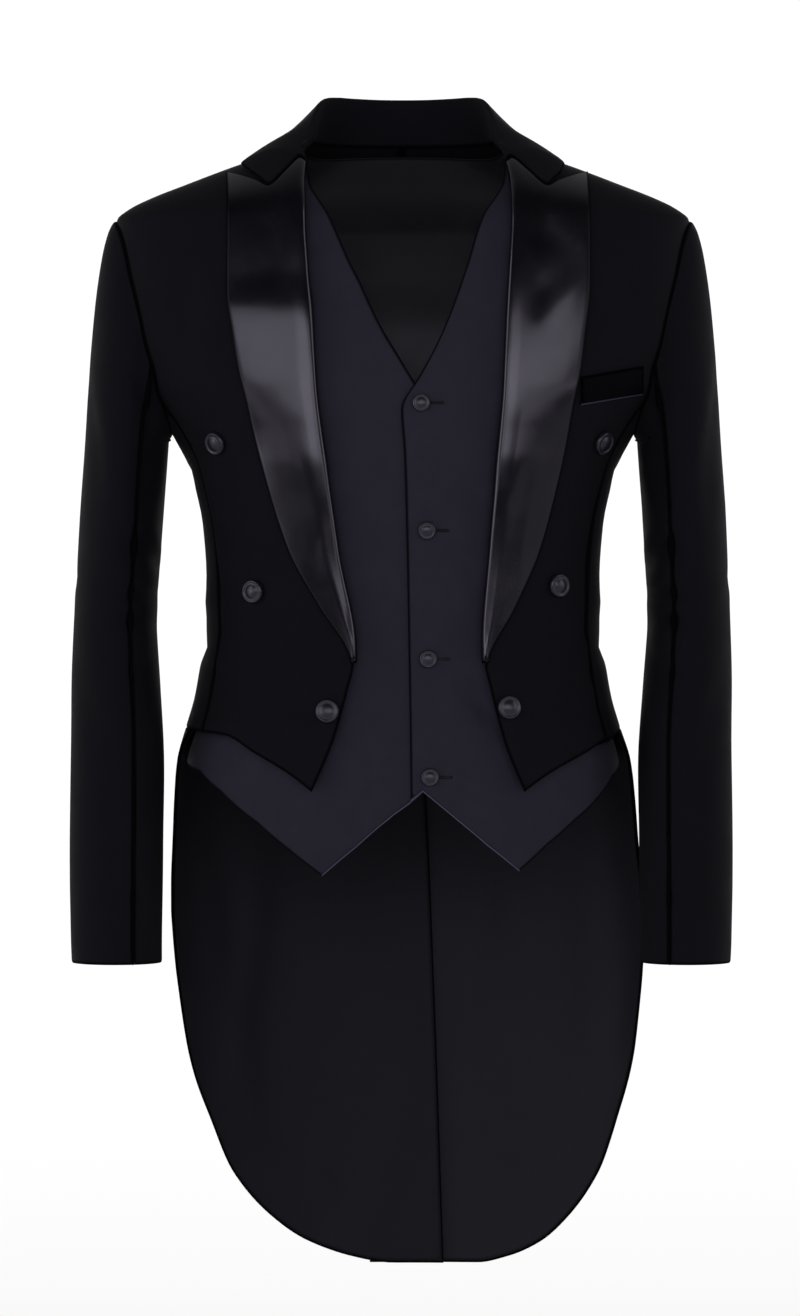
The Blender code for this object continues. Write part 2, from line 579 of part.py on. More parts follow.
def make_waistcoat(finish, back_finish, collection):
    """Two fronts that button left over right, and one back, inside the coat."""
    down = (np.linspace(0, 1, VEST_ROWS + 1) ** 1.45)[:, None]
    for side_name, side in SIDES:
        edge_table, hem = (VEST_OVER_EDGE, VEST_OVER_HEM) if side == LEFT else (VEST_UNDER_EDGE, VEST_UNDER_HEM)
        side_seam = side * (90 - SEAM_DEG)
        hem_angle = front_angle(hem[:-1, 0], hem[:-1, 1])
        across = (hem_angle - hem_angle[0]) / (side_seam - hem_angle[0])
        across = np.append(across, 1)[None, :]
        foot = hem[:, 1][None, :]
        z = between(VEST_TOP, foot, down)
        inner = front_angle(smooth(edge_table, z), z)
        outer = side * (smooth(VEST_ARMHOLE, z) - SEAM_DEG)
        angle = between(inner, outer, across)
        lift = np.full_like(z, -VEST_INSET)
        if side == RIGHT:
            lift -= VEST_LAP_STEP * np.clip((angle - VEST_LAP_FROM) / VEST_LAP_RAMP, 0, 1)
        points = form(angle, z, lift)
        points = points if side == LEFT else points[:, ::-1]
        cloth(f"waistcoat_front_{side_name}", points, VEST_WALL, finish, collection)
    across = np.linspace(0, 1, 15)[None, :]
    z = between(VEST_BACK_TOP, VEST_BACK_HEM, down) + np.zeros_like(across)
    outer = 180 - smooth(VEST_ARMHOLE, z)
    angle = between(outer + SEAM_DEG, 360 - outer - SEAM_DEG, across)
    deeper = VEST_BACK_EASE * np.clip((90 - np.abs(angle - 180)) / VEST_BACK_EASE_RAMP, 0, 1)
    points = form(angle, z, -VEST_INSET - deeper)
    cloth("waistcoat_back", points, VEST_WALL, back_finish, collection)


def make_suit():
    for thing in list(bpy.data.objects):
        bpy.data.objects.remove(thing)
    collection = bpy.data.collections.new("tailcoat_suit")
    bpy.context.scene.collection.children.link(collection)
    wool = material("coat_wool", (0.008, 0.008, 0.011), 0.85, 0.2)
    satin = material("lapel_satin", (0.02, 0.019, 0.026), 0.28)
    lining = material("tail_lining", (0.009, 0.009, 0.012), 0.5)
    suiting = material("waistcoat_suiting", (0.019, 0.018, 0.026), 0.75, 0.2)
    vest_back = material("waistcoat_back_satin", (0.014, 0.014, 0.018), 0.45)
    button = material("covered_button", (0.01, 0.01, 0.013), 0.3)
    make_coat_fronts(wool, collection)
    make_side_bodies(wool, collection)
    make_coat_backs(wool, collection)
    make_tails(wool, lining, collection)
    make_sleeves(wool, collection)
    make_lapels(satin, collection)
    make_collar(wool, collection)
    make_welt(satin, collection)
    make_buttons(button, collection)
    make_waistcoat(suiting, vest_back, collection)


make_suit()
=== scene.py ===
"""Looks of the tailcoat suit: a black tailcoat open over a charcoal waistcoat, both hollow and as if worn.

Each cloth piece is drawn again on the form that its solid follows, with its creases, turned edges and
stitching. Sizes are in millimetres and MM turns them into metres. Left and right are the wearer's, left is
+X, and the front faces -Y.
"""

import bpy
import numpy as np
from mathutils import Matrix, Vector


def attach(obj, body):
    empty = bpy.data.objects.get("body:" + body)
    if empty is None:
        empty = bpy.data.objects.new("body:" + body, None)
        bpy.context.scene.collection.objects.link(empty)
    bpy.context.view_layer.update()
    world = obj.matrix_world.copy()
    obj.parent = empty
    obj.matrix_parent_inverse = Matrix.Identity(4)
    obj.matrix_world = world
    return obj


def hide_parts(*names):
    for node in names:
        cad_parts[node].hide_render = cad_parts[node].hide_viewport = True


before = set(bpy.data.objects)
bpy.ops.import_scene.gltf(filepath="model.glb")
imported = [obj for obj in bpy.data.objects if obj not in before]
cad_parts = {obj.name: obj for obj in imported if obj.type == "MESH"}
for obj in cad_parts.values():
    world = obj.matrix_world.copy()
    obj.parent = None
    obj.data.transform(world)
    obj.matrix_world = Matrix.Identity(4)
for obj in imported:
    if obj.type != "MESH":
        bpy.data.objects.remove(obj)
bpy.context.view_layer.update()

# Studio: the suit hangs at a standing wearer's height over a pale round floor, in a white room. The satin
# mirrors a broad soft lamp in front, brighter in its middle, with a low wing on each side.
MM = 0.001
FLOOR_DROP = 1.45
FLOOR_RADIUS = 4.1
CAMERA_AWAY = 5.0
FRAME_HEIGHT = 1.105
PHOTO_MIDDLE = (-0.0025, -0.427)


def added(name, data):
    """A new object in the scene."""
    made = bpy.data.objects.new(name, data)
    bpy.context.scene.collection.objects.link(made)
    return made


camera = added("camera", bpy.data.cameras.new("camera"))
camera.data.lens = camera.data.sensor_width * CAMERA_AWAY / FRAME_HEIGHT
camera.location = (PHOTO_MIDDLE[0], -CAMERA_AWAY, PHOTO_MIDDLE[1])
camera.rotation_euler = (np.pi / 2, 0, 0)
bpy.context.scene.camera = camera


class Shade:
    """One socket in a shader, so that a cloth's pattern is written as a sum."""

    def __init__(self, tree, socket=None):
        self.tree = tree
        self.socket = socket

    def node(self, kind, settings=(), sockets=(), out=0):
        """Adds a node: its settings first, then the values or links of its sockets."""
        made = self.tree.nodes.new(kind)
        for key, value in dict(settings).items():
            if key == "stops":
                stops = made.color_ramp.elements
                while len(stops) < len(value):
                    stops.new(0.5)
                for stop, (place, tone) in zip(stops, value):
                    stop.position = place
                    stop.color = tone if hasattr(tone, "__len__") else (tone, tone, tone, 1)
            else:
                setattr(made, key, value)
        for key, value in dict(sockets).items():
            if isinstance(value, Shade):
                self.tree.links.new(value.socket, made.inputs[key])
            else:
                made.inputs[key].default_value = value
        return Shade(self.tree, made.outputs[out])

    def math(self, operation, *others):
        values = [self, *others]
        return self.node("ShaderNodeMath", {"operation": operation}, dict(enumerate(values)))

    def __add__(self, other):
        return self.math("ADD", other)

    def __mul__(self, other):
        return self.math("MULTIPLY", other)

    def __sub__(self, other):
        return self.math("SUBTRACT", other)

    def __rsub__(self, other):
        return self.node("ShaderNodeMath", {"operation": "SUBTRACT"}, {0: other, 1: self})

    __radd__ = __add__
    __rmul__ = __mul__

    def sine(self, pitch):
        """From 0 to 1 and back once in each pitch."""
        return (self * (2 * np.pi / pitch)).math("SINE") * 0.5 + 0.5

    def limit(self, low, high):
        """From 0 at low to 1 at high."""
        soft = {"interpolation_type": "SMOOTHSTEP"}
        return self.node("ShaderNodeMapRange", soft, {0: self, 1: low, 2: high})

    def blend(self, first, second):
        """A colour between two, by this share."""
        return self.node("ShaderNodeMix", {"data_type": "RGBA"}, {0: self, 6: first, 7: second}, out=2)


# The room's light from straight down (0) to straight up (1), its strength ahead of the suit, what it gains
# behind, and what its upper part loses ahead, where the satin would mirror a bright ceiling.
ROOM_LIGHT = ((0.0, 0.8), (0.42, 0.82), (0.47, 1.0), (0.57, 1.0), (0.66, 0.34), (1.0, 0.34))
ROOM_AHEAD = 0.54
ROOM_GAIN_BEHIND = 0.5
ROOM_LOSS_ABOVE = 0.4

room = bpy.data.worlds.new("room")
room.use_nodes = True
room.node_tree.nodes.clear()
sky = Shade(room.node_tree)
where = sky.node("ShaderNodeTexCoord")
compass = sky.node("ShaderNodeSeparateXYZ", (), {0: where})
height = Shade(room.node_tree, compass.socket.node.outputs["Z"])
ahead = Shade(room.node_tree, compass.socket.node.outputs["Y"])
level = height.node("ShaderNodeValToRGB", {"stops": ROOM_LIGHT}, {0: height * 0.5 + 0.5})
behind = ahead.limit(-0.5, 0.2)
above = (1 - behind) * height.limit(0.16, 0.3)
strength = behind * ROOM_GAIN_BEHIND + ROOM_AHEAD - above * ROOM_LOSS_ABOVE
glow = sky.node("ShaderNodeBackground", (), {"Color": level, "Strength": strength})
room.node_tree.links.new(glow.socket, room.node_tree.nodes.new("ShaderNodeOutputWorld").inputs["Surface"])
bpy.context.scene.world = room
bpy.context.scene.view_settings.view_transform = "Standard"


def lamp(name, place, target, size, radiance):
    """A soft rectangular lamp of this radiance, which the camera doesn't see itself."""
    data = bpy.data.lights.new(name, "AREA")
    data.shape = "RECTANGLE"
    data.size, data.size_y = size
    data.energy = radiance * np.pi * size[0] * size[1]
    made = added(name, data)
    made.location = place
    made.rotation_euler = (Vector(place) - Vector(target)).to_track_quat("Z", "Y").to_euler()
    made.visible_camera = False


# Each lamp's name, place, what it faces, width and height, and radiance, in metres.
lamp("front_softbox", (0, -4.2, 0.5), (0, 0, -0.3), (6.6, 1.54), 2.2)
lamp("centre_strip", (0, -3.8, 0.42), (0, 0, -0.1), (1.5, 1.7), 1.0)
lamp("left_wing", (2.74, -3.4, -0.52), (0, 0, -0.3), (1.5, 0.34), 1.6)
lamp("right_wing", (-2.94, -2.6, -0.64), (0, 0, -0.3), (1.7, 0.46), 1.3)
lamp("left_softbox", (3.0, -1.0, 0.6), (0, 0, -0.4), (1.0, 2.2), 2.0)
lamp("right_softbox", (-3.0, -1.4, 0.2), (0, 0, -0.4), (1.2, 2.6), 2.4)
lamp("back_softbox", (0, 3.8, 0.9), (0, 0, -0.4), (3.0, 1.2), 2.0)


def stage_piece(name, tone_name, corners, colour, rough):
    """One flat polygon that dresses the studio."""
    look = bpy.data.materials.new(tone_name)
    look.use_nodes = True
    shader = look.node_tree.nodes["Principled BSDF"]
    shader.inputs["Base Color"].default_value = (*colour, 1)
    shader.inputs["Roughness"].default_value = rough
    mesh = bpy.data.meshes.new(name)
    mesh.from_pydata(corners, [], [list(range(len(corners)))])
    mesh.materials.append(look)
    made = added(name, mesh)
    return made


FLOOR_SIDES = 96
turn = np.linspace(0, 2 * np.pi, FLOOR_SIDES, endpoint=False)
rim = [FLOOR_RADIUS * np.cos(turn), FLOOR_RADIUS * np.sin(turn), np.full(FLOOR_SIDES, -FLOOR_DROP)]
stage_piece("floor", "pale_floor", np.stack(rim, 1).tolist(), (0.82, 0.82, 0.81), 0.8)

# A black card under the front lamp, which only reflections see: it keeps the lower lapels dark.
CARD_HALF = 4.2
CARD_Y = -3.9
CARD_Z = (-1.44, -0.58)
sides = (-CARD_HALF, CARD_HALF, CARD_HALF, -CARD_HALF)
corners = [(x, CARD_Y, z) for x, z in zip(sides, np.repeat(CARD_Z, 2))]
card = stage_piece("card", "black_card", corners, (0.01, 0.01, 0.01), 0.9)
card.visible_camera = False
card.visible_diffuse = False
card.visible_shadow = False

# Coat backs: two panels of black barathea wool from the neck to the waist seam, joined at the centre back.
# They hang from the shoulder seams and hollow in at the waist, with soft drag lines over the blades.
SECTION_POWER = 2.3
SEAM_DEG = 0.2
SHOULDER_DEG = 0.07
SEAM_GAP = 0.5
COAT_WALL = 1.8
FORM = np.array([
    (22, 58, 42, 48), (14, 72, 48, 56), (8, 84, 52, 60), (0, 100, 58, 66), (-8, 122, 63, 72),
    (-18, 150, 70, 80), (-31, 184, 78, 90), (-42, 212, 84, 97), (-51, 230, 88, 102),
    (-60, 240, 91, 106), (-100, 241, 101, 116), (-150, 238, 110, 124), (-200, 223, 116, 126),
    (-225, 204, 117, 125), (-240, 193, 117, 124), (-258, 183, 117, 122), (-286, 174, 116, 118),
    (-316, 168, 113, 113), (-360, 165, 109, 105), (-403, 165, 106, 98), (-432, 170, 105, 95),
    (-460, 175, 105, 96), (-484, 182, 107, 100), (-511, 190, 109, 108), (-565, 198, 110, 116),
    (-620, 203, 109, 121), (-700, 205, 108, 124), (-960, 205, 108, 128),
], float)
BACK_DRIFT = np.array([
    (22, 0), (-250, 2), (-430, 10), (-484, 15), (-540, 20), (-700, 27), (-960, 36),
], float)
ARMHOLE = np.array([
    (-60, 90, 90), (-66, 81, 99), (-75, 76, 104), (-90, 72, 107), (-108, 69, 110), (-130, 66, 112),
    (-155, 64, 113.5), (-185, 63.5, 113), (-215, 69, 111),
], float)
BACK_SEAM = np.array([(-215, 111), (-250, 115), (-335, 124), (-403, 131), (-484, 138)], float)
WAIST = {
    1: np.array([(64, -497), (80, -488), (95, -484), (120, -481), (180, -478)], float),
    -1: np.array([(64, -488), (80, -485.5), (95, -483.5), (120, -481), (180, -478)], float),
}
TORSO_ROWS = (
    10, 4, -3, -10, -18, -28, -40, -51, -60, -66, -75, -90, -108, -130, -155, -185, -215, -250, -290,
    -335, -380, -430,
)
# Creases of the back: from x, from z, to x, to z, half width, lift.
BACK_CREASES = (
    (62, -70, 74, -250, 20, -2.2), (150, -120, 118, -235, 17, -2.4), (-66, -60, -80, -240, 20, -2.0),
    (-152, -130, -120, -250, 17, -2.6), (24, -430, 128, -446, 11, -2.6), (30, -398, 112, -404, 10, -1.9),
    (-12, -436, -120, -452, 11, -2.4), (-24, -402, -108, -410, 10, -2.0), (86, -300, 118, -392, 13, -1.8),
    (-84, -290, -116, -386, 13, -1.9), (-30, -22, 40, -26, 9, -1.3),
)


def smooth(table, at, column=1):
    """The table's column at these places of its first column, on a curve that never overshoots."""
    order = np.argsort(table[:, 0])
    xs = table[order, 0]
    ys = table[order, column]
    at = np.clip(np.asarray(at, float), xs[0], xs[-1])
    steps = np.diff(xs)
    rise = np.diff(ys) / steps
    slope = np.concatenate([rise[:1], np.zeros(len(xs) - 2), rise[-1:]])
    same_way = rise[:-1] * rise[1:] > 0
    inner = np.where(same_way, rise[:-1] + rise[1:], 1)
    slope[1:-1] = np.where(same_way, 2 * rise[:-1] * rise[1:] / inner, 0)
    i = np.clip(np.searchsorted(xs, at) - 1, 0, len(xs) - 2)
    t = (at - xs[i]) / steps[i]
    start = (1 + 2 * t) * (1 - t) ** 2 * ys[i] + t * (1 - t) ** 2 * steps[i] * slope[i]
    end = t * t * (3 - 2 * t) * ys[i + 1] + t * t * (t - 1) * steps[i] * slope[i + 1]
    return start + end


def bare_form(angle, z):
    """Points on the form at these angles round the body in degrees and these heights."""
    angle, z = np.broadcast_arrays(np.asarray(angle, float), np.asarray(z, float))
    s = np.sin(np.radians(angle))
    c = np.cos(np.radians(angle))
    half, front, back = (smooth(FORM, z, column) for column in (1, 2, 3))
    share = 2 / SECTION_POWER
    x = half * np.sign(s) * np.abs(s) ** share
    y = -np.where(c > 0, front, back) * np.sign(c) * np.abs(c) ** share
    return np.stack([x, y, z], axis=-1)


def form_normal(angle, z):
    round_body = bare_form(np.asarray(angle) + 0.4, z) - bare_form(np.asarray(angle) - 0.4, z)
    up_body = bare_form(angle, np.asarray(z) + 1) - bare_form(angle, np.asarray(z) - 1)
    normal = np.cross(round_body, up_body)
    return normal / np.linalg.norm(normal, axis=-1, keepdims=True)


def form(angle, z, lift=0):
    """Points on the form, moved out along its normal by lift."""
    return bare_form(angle, z) + np.asarray(lift, float)[..., None] * form_normal(angle, z)


def front_angle(x, z):
    """The angle at which the form's front has this x."""
    share = np.clip(np.abs(x) / smooth(FORM, z), 0, 0.99999) ** (SECTION_POWER / 2)
    return np.sign(x) * np.degrees(np.arcsin(share))


def back_angle(x, z):
    return 180 - front_angle(x, z)


def between(start, end, share):
    return start + (end - start) * share


def ramp(value, start, over):
    """From 0 at start to 1 at start + over. A value whose name ends in AT is such a start and its run."""
    return np.clip((value - start) / over, 0, 1)


def mirrored(points, side):
    """The left half as it is, or its copy on the right with the columns turned round."""
    return points if side > 0 else points[:, ::-1] * (-1, 1, 1)


def shares(count, length):
    """Shares from 0 to 1, with two more near each end that turn the cloth's edge."""
    near = np.array([0.5, 1.6]) / length
    return np.concatenate([[0], near, np.linspace(0, 1, count)[1:-1], 1 - near[::-1], [1]])


# A crease fades in over CREASE_FADE of its length, from CREASE_PAST before its start, and bows by a share of
# its length. Its width and depth waver, and the low ridge beside it has a share of its depth.
CREASE_PAST = 0.25
CREASE_FADE = 0.6
CREASE_BOW = 0.07
WIDTH_WAVER = 0.22
DEPTH_WAVER = 0.2
RIDGE_SHARE = 0.55


def creased(at, table):
    """The lift that a table of creases gives at these places: soft uneven troughs with low ridges."""
    lift = np.zeros(at.shape[:-1])
    for number, (x0, z0, x1, z1, half, rise) in enumerate(table):
        start = np.array([x0, z0], float)
        along = np.array([x1, z1]) - start
        length = np.hypot(*along)
        along /= length
        t = np.clip((at - start) @ along / length, -CREASE_PAST, 1 + CREASE_PAST)
        bow = CREASE_BOW * length * np.sin(np.pi * t) * (-1) ** number
        away = (at - start) @ np.array([-along[1], along[0]]) - bow
        wide = half * (1 + WIDTH_WAVER * np.sin(5 * t + number))
        fade = ramp(np.minimum(t + CREASE_PAST, 1 + CREASE_PAST - t), 0, CREASE_FADE)
        fade = fade * fade * (3 - 2 * fade) * (1 + DEPTH_WAVER * np.sin(9 * t + 2 * number))
        ridge = RIDGE_SHARE * np.exp(-((away - 1.7 * wide) / (1.2 * wide)) ** 2)
        lift += rise * fade * (np.exp(-(away / wide) ** 2) - ridge)
    return lift


def arc(points, axis):
    """Length along the cloth from its first row or column."""
    steps = np.linalg.norm(np.diff(points, axis=axis), axis=-1)
    start = np.zeros_like(np.take(steps, [0], axis=axis))
    return np.cumsum(np.concatenate([start, steps], axis=axis), axis=axis)


def out_of(points):
    """The outward direction at each point of a grid whose rows run down it."""
    normal = np.cross(np.gradient(points, axis=0), np.gradient(points, axis=1))
    return normal / np.maximum(np.linalg.norm(normal, axis=-1, keepdims=True), 1e-9)


def grid_faces(rows, columns):
    """Quads between the points of a grid, which are numbered along its rows."""
    number = np.arange(rows * columns).reshape(rows, columns)
    corners = [number[:-1, :-1], number[1:, :-1], number[1:, 1:], number[:-1, 1:]]
    return np.stack(corners, -1).reshape(-1, 4).tolist()


def drawn(name, places, faces, flat, look):
    """A smooth mesh whose UV map is its cut laid flat."""
    mesh = bpy.data.meshes.new(name)
    mesh.from_pydata((places * MM).tolist(), [], faces)
    corners = [number for face in faces for number in face]
    mesh.uv_layers.new(name="cut").data.foreach_set("uv", (flat[corners] * MM).reshape(-1))
    mesh.shade_smooth()
    mesh.materials.append(look)
    return added(name, mesh)


def thicken(piece, wall):
    """Gives the cloth its wall, on the inner side of its mesh."""
    solid = piece.modifiers.new("wall", "SOLIDIFY")
    solid.thickness = wall * MM
    solid.offset = -1


# A cloth's edge is rounded off over EDGE_ROUND. Its seam allowance starts ALLOWANCE_FROM past the edge and
# ALLOWANCE_UNDER below the neighbour's wall, and sinks by ALLOWANCE_SINK to its own width.
EDGE_ROUND = 0.9
ALLOWANCE = 5
ALLOWANCE_FROM = 0.4
ALLOWANCE_UNDER = 0.7
ALLOWANCE_SINK = 1.2
BOTH_SIDES = {"first": ALLOWANCE, "last": ALLOWANCE}
NO_HEM = 99
# The end of a grid that each name means: its axis, its last row, and a row further in.
ENDS = {"top": (0, 0, 3), "foot": (0, -1, -4), "first": (1, 0, 3), "last": (1, -1, -4)}


def cloth_piece(
        node, points, wall, look, lift=0, roll=0.6,
        tuck=(), inside=None, highlight_x=(0, 0)):
    """A wall of cloth through a grid of points, its edges turned in, in place of its plain solid.

    tuck gives the width of the seam allowances that lie under the neighbours of the edges it names, and
    its last argument the range of x over which the hem is given a painted highlight.
    """
    across, down = arc(points, 1), arc(points, 0)
    edge = np.minimum(np.minimum(across, across[:, -1:] - across), np.minimum(down, down[-1:] - down))
    points = points + out_of(points) * (lift - roll * np.exp(-(edge / EDGE_ROUND) ** 2))[..., None]
    if inside is not None:
        points = np.concatenate([inside, points])
        edge = np.concatenate([np.zeros(inside.shape[:2]), edge])
    for end, width in dict(tuck).items():
        axis, last, inner = ENDS[end]
        grid, normal = np.moveaxis(points, axis, 0), np.moveaxis(out_of(points), axis, 0)
        away = grid[last] - grid[inner]
        away /= np.linalg.norm(away, axis=-1, keepdims=True)
        under = grid[last] - normal[inner] * (wall + ALLOWANCE_UNDER)
        far = under + away * width - normal[inner] * ALLOWANCE_SINK
        flap = np.stack([far, under + away * ALLOWANCE_FROM][:: 1 if last == 0 else -1])
        points = np.moveaxis(np.concatenate([flap, grid] if last == 0 else [grid, flap]), 0, axis)
        edge = np.pad(edge, [(2 * (last == 0), 2 * (last != 0)) if axis == a else (0, 0) for a in (0, 1)])
    across, down = arc(points, 1), arc(points, 0)
    flat = np.stack([across, down], -1).reshape(-1, 2)
    piece = drawn(node + "_cloth", points.reshape(-1, 3), grid_faces(*edge.shape), flat, look)
    # Distance from the hem over the range of x that gets a painted highlight; far off elsewhere.
    hem_highlight = np.where((points[..., 0] > highlight_x[0]) & (points[..., 0] < highlight_x[1]), down[-1:] - down, NO_HEM)
    for attribute, value in (("from_edge", edge), ("from_hem", hem_highlight)):
        made = piece.data.attributes.new(attribute, "FLOAT", "POINT")
        made.data.foreach_set("value", value.reshape(-1) * MM)
    thicken(piece, wall)
    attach(piece, "root")
    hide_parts(node)
    sides = np.diff(points, axis=1)[:-1], np.diff(points, axis=0)[:, :-1]
    area = np.linalg.norm(np.cross(*sides), axis=-1).sum()
    width, length = across[:, -1].max(), down[-1].max()
    area = np.clip(area / (width * length), 0.3, 1) * width * length
    width * MM
    area * MM * MM


# How far from its edge a cloth has painted shade, and from its hem a painted highlight, in metres: all, then
# none.
EDGE_SHADE_WIDTH = (0.0008, 0.0032)
HEM_HIGHLIGHT_WIDTH = (0.0006, 0.0024)
BLACK_DYE = (0.87, 0.82, 1, 1)


def toned(colour, share):
    """The colour at this share of its light."""
    return (*(share * c for c in colour), 1)


def cloth_look(
        name, dark, light, rough, gleam, weave, depth, sheen=0, mottle=40, painted_edge_shade=0.6, hem_glow=3.2):
    """A cloth's finish: a weave in its cut's own directions, uneven dye, painted shade at its edges and a
    painted highlight on its hem.

    What has no edge or hem of its own, such as a button's cover, takes the hem's lighter tone all over.
    """
    made = bpy.data.materials.new(name)
    made.use_nodes = True
    shader = made.node_tree.nodes["Principled BSDF"]
    start = Shade(made.node_tree)
    uv = start.node("ShaderNodeUVMap", {"uv_map": "cut"})
    parts = start.node("ShaderNodeSeparateXYZ", (), {0: uv})
    threads = weave(*(Shade(made.node_tree, parts.socket.node.outputs[axis]) for axis in "XY"))
    body = start.node("ShaderNodeTexCoord", (), (), out="Object")
    cloudy = start.node("ShaderNodeTexNoise", (), {"Vector": body, "Scale": mottle, "Detail": 4.0})
    slubs = start.node("ShaderNodeTexNoise", (), {"Vector": body, "Scale": 900.0, "Detail": 2.0})
    tone = (cloudy * 0.5 + slubs * 0.2 + threads * 0.3).limit(0.3, 0.75)
    colour = tone.blend(toned(dark, 1), toned(light, 1))
    edge = start.node("ShaderNodeAttribute", {"attribute_name": "from_edge"}, (), out="Fac")
    hem = start.node("ShaderNodeAttribute", {"attribute_name": "from_hem"}, (), out="Fac")
    # Painted shade along every edge: within a few millimetres of it the colour is darkened and a dark
    # diffuse shader is mixed in.
    flat = (1 - edge.limit(*EDGE_SHADE_WIDTH)) * painted_edge_shade
    # Painted highlight on the hem: within the given range of x, its last few millimetres are lightened.
    hem_highlight = 1 - hem.limit(*HEM_HIGHLIGHT_WIDTH)
    colour = hem_highlight.blend(flat.blend(colour, toned(dark, 0.15)), toned(light, hem_glow))
    gloss = (tone * 0.16 + (rough - 0.08)) + flat * 0.3
    relief = threads * 0.7 + slubs * 0.3
    bump = start.node("ShaderNodeBump", (), {"Height": relief, "Distance": depth * MM, "Strength": 0.6})
    link = made.node_tree.links.new
    for key, value in (("Base Color", colour), ("Roughness", gloss), ("Normal", bump)):
        link(value.socket, shader.inputs[key])
    plain = (("Specular IOR Level", gleam), ("Specular Tint", BLACK_DYE), ("Sheen Weight", sheen))
    for key, value in plain:
        shader.inputs[key].default_value = value
    shadow = start.node("ShaderNodeBsdfDiffuse", (), {"Color": toned(dark, 0.2)})
    surface = Shade(made.node_tree, shader.outputs[0])
    mixed = start.node("ShaderNodeMixShader", (), {0: flat * 0.9 * (1 - hem_highlight), 1: surface, 2: shadow})
    link(mixed.socket, made.node_tree.nodes["Material Output"].inputs["Surface"])
    return made


def barathea(u, v):
    """Fine broken ribs that lean across the cloth."""
    return (u + v).sine(0.0011) * 0.6 + (u * 2 - v).sine(0.0021) * 0.4


wool = cloth_look(
    "black_barathea", (0.0028, 0.0027, 0.0042), (0.0048, 0.0046, 0.0068),
    rough=0.8, gleam=0.07, weave=barathea, depth=0.12, sheen=0.008)


# Rows of a panel to each row of TORSO_ROWS, where two more turn its top edge, and three its foot.
ROWS_PER = 4
TOP_TURN = np.array([0.5, 1.2])
FOOT_TURN = 1 - np.array([1.6, 0.5, 0]) / 80


def rows_down(foot, waist_rows=14):
    """Heights of a panel's rows, even down to the waist and then running to each column's foot."""
    places = np.linspace(0, len(TORSO_ROWS) - 1, ROWS_PER * (len(TORSO_ROWS) - 1) + 1)
    fixed = np.interp(places, np.arange(len(TORSO_ROWS)), TORSO_ROWS)
    fixed = np.concatenate([fixed[:1], fixed[0] - TOP_TURN, fixed[1:]])
    down = np.concatenate([np.linspace(0, 1, waist_rows)[1:-1], FOOT_TURN])[:, None]
    fixed = np.repeat(fixed[:, None], len(foot), axis=1)
    return np.concatenate([fixed, between(TORSO_ROWS[-1], foot, down)])


# The armhole's heights, with a hair's breadth for rounding.
ARMHOLE_TOP = -60.01
ARMHOLE_FOOT = -214.99


def back_outer(z):
    """The back's outer edge: shoulder seam, armhole, then the seam to the side body."""
    armhole = smooth(ARMHOLE, z, 2)
    below = smooth(BACK_SEAM, z)
    return np.where(z > ARMHOLE_TOP, 90, np.where(z < ARMHOLE_FOOT, below, armhole))


def seam_half(z):
    return np.where(z > ARMHOLE_TOP, SHOULDER_DEG, SEAM_DEG)


SIDES = (("left", 1), ("right", -1))
across = shares(34, 230)
for name, side in SIDES:
    z = rows_down(smooth(WAIST[side], between(BACK_SEAM[-1, 1], 180, across)))
    outer = back_outer(z) + seam_half(z)
    middle = back_angle(side * smooth(BACK_DRIFT, z) + SEAM_GAP / 2, z)
    points = mirrored(form(between(outer, middle, across), z), side)
    folds = creased(points[..., [0, 2]], BACK_CREASES)
    tuck = BOTH_SIDES if side > 0 else {"last": ALLOWANCE}
    cloth_piece(f"coat_back_{name}", points, COAT_WALL, wool, folds, tuck=tuck)

# Side bodies: the narrow wool panel under each arm, which curves the coat in from armhole to waist.
# Sewn to the front and the back, and to the tail at the waist seam.
FRONT_SEAM = np.array([(-215, 69), (-250, 70), (-335, 68), (-403, 66), (-500, 64)], float)
UNDERARM = np.array([(69, -215), (79, -234), (90, -240), (101, -234), (111, -215)], float)
# Creases under the arm: from y, from z, to y, to z, half width, lift.
SIDE_CREASES = (
    (-50, -262, 30, -285, 10, -1.8), (-40, -398, 50, -388, 10, -2.0), (-46, -428, 44, -420, 11, -2.2),
    (10, -300, 22, -380, 12, -1.4),
)
UNDERARM_ROWS = 12
across = shares(22, 120)
top = smooth(UNDERARM, between(UNDERARM[0, 0], UNDERARM[-1, 0], across))
for name, side in SIDES:
    z = rows_down(smooth(WAIST[side], between(FRONT_SEAM[-1, 1], BACK_SEAM[-1, 1], across)))
    z = z[z[:, 0] <= UNDERARM[0, 1]].copy()
    for row in range(UNDERARM_ROWS):
        z[row] = between(top, z[UNDERARM_ROWS], (row / UNDERARM_ROWS) ** 1.3)
    z[1] = top - TOP_TURN[0]
    inner = smooth(FRONT_SEAM, z) + SEAM_DEG
    outer = smooth(BACK_SEAM, z) - SEAM_DEG
    points = mirrored(form(between(inner, outer, across), z), side)
    folds = creased(points[..., [1, 2]], SIDE_CREASES)
    cloth_piece(f"coat_side_body_{name}", points, COAT_WALL, wool, folds, tuck=BOTH_SIDES)

# Coat fronts: wool over canvas, cut away to a point below the waist and turned under the lapel's crease.
# They hang open from the shoulder seams, drawn a little towards the buttons and the armholes.
FRONT_DRIFT = np.array([
    (22, 0), (2, 0), (-14, 2.5), (-60, 4.5), (-112, 4.5), (-220, 6), (-337, 9), (-428, 13.5), (-541, 12.5),
    (-610, 14),
], float)
CREASE = np.array([
    (22, 66), (10, 74), (4, 78.5), (-3, 82), (-14, 85.5), (-35, 87.5), (-70, 87), (-100, 85.2),
    (-165, 81.5), (-233, 77), (-337, 65), (-428, 53.5), (-454, 59), (-496, 70.5), (-529, 84), (-542, 90),
], float)
LAPEL_END = -431
FRONT_HEM = np.array([(80, -543), (90, -537), (112, -523), (143, -504.5), (163, -491), (200, -486)], float)
TUCK = ((LAPEL_END, LAPEL_END + 25, -14, -6), (0.7, 3.4, 3.4, 6.5))
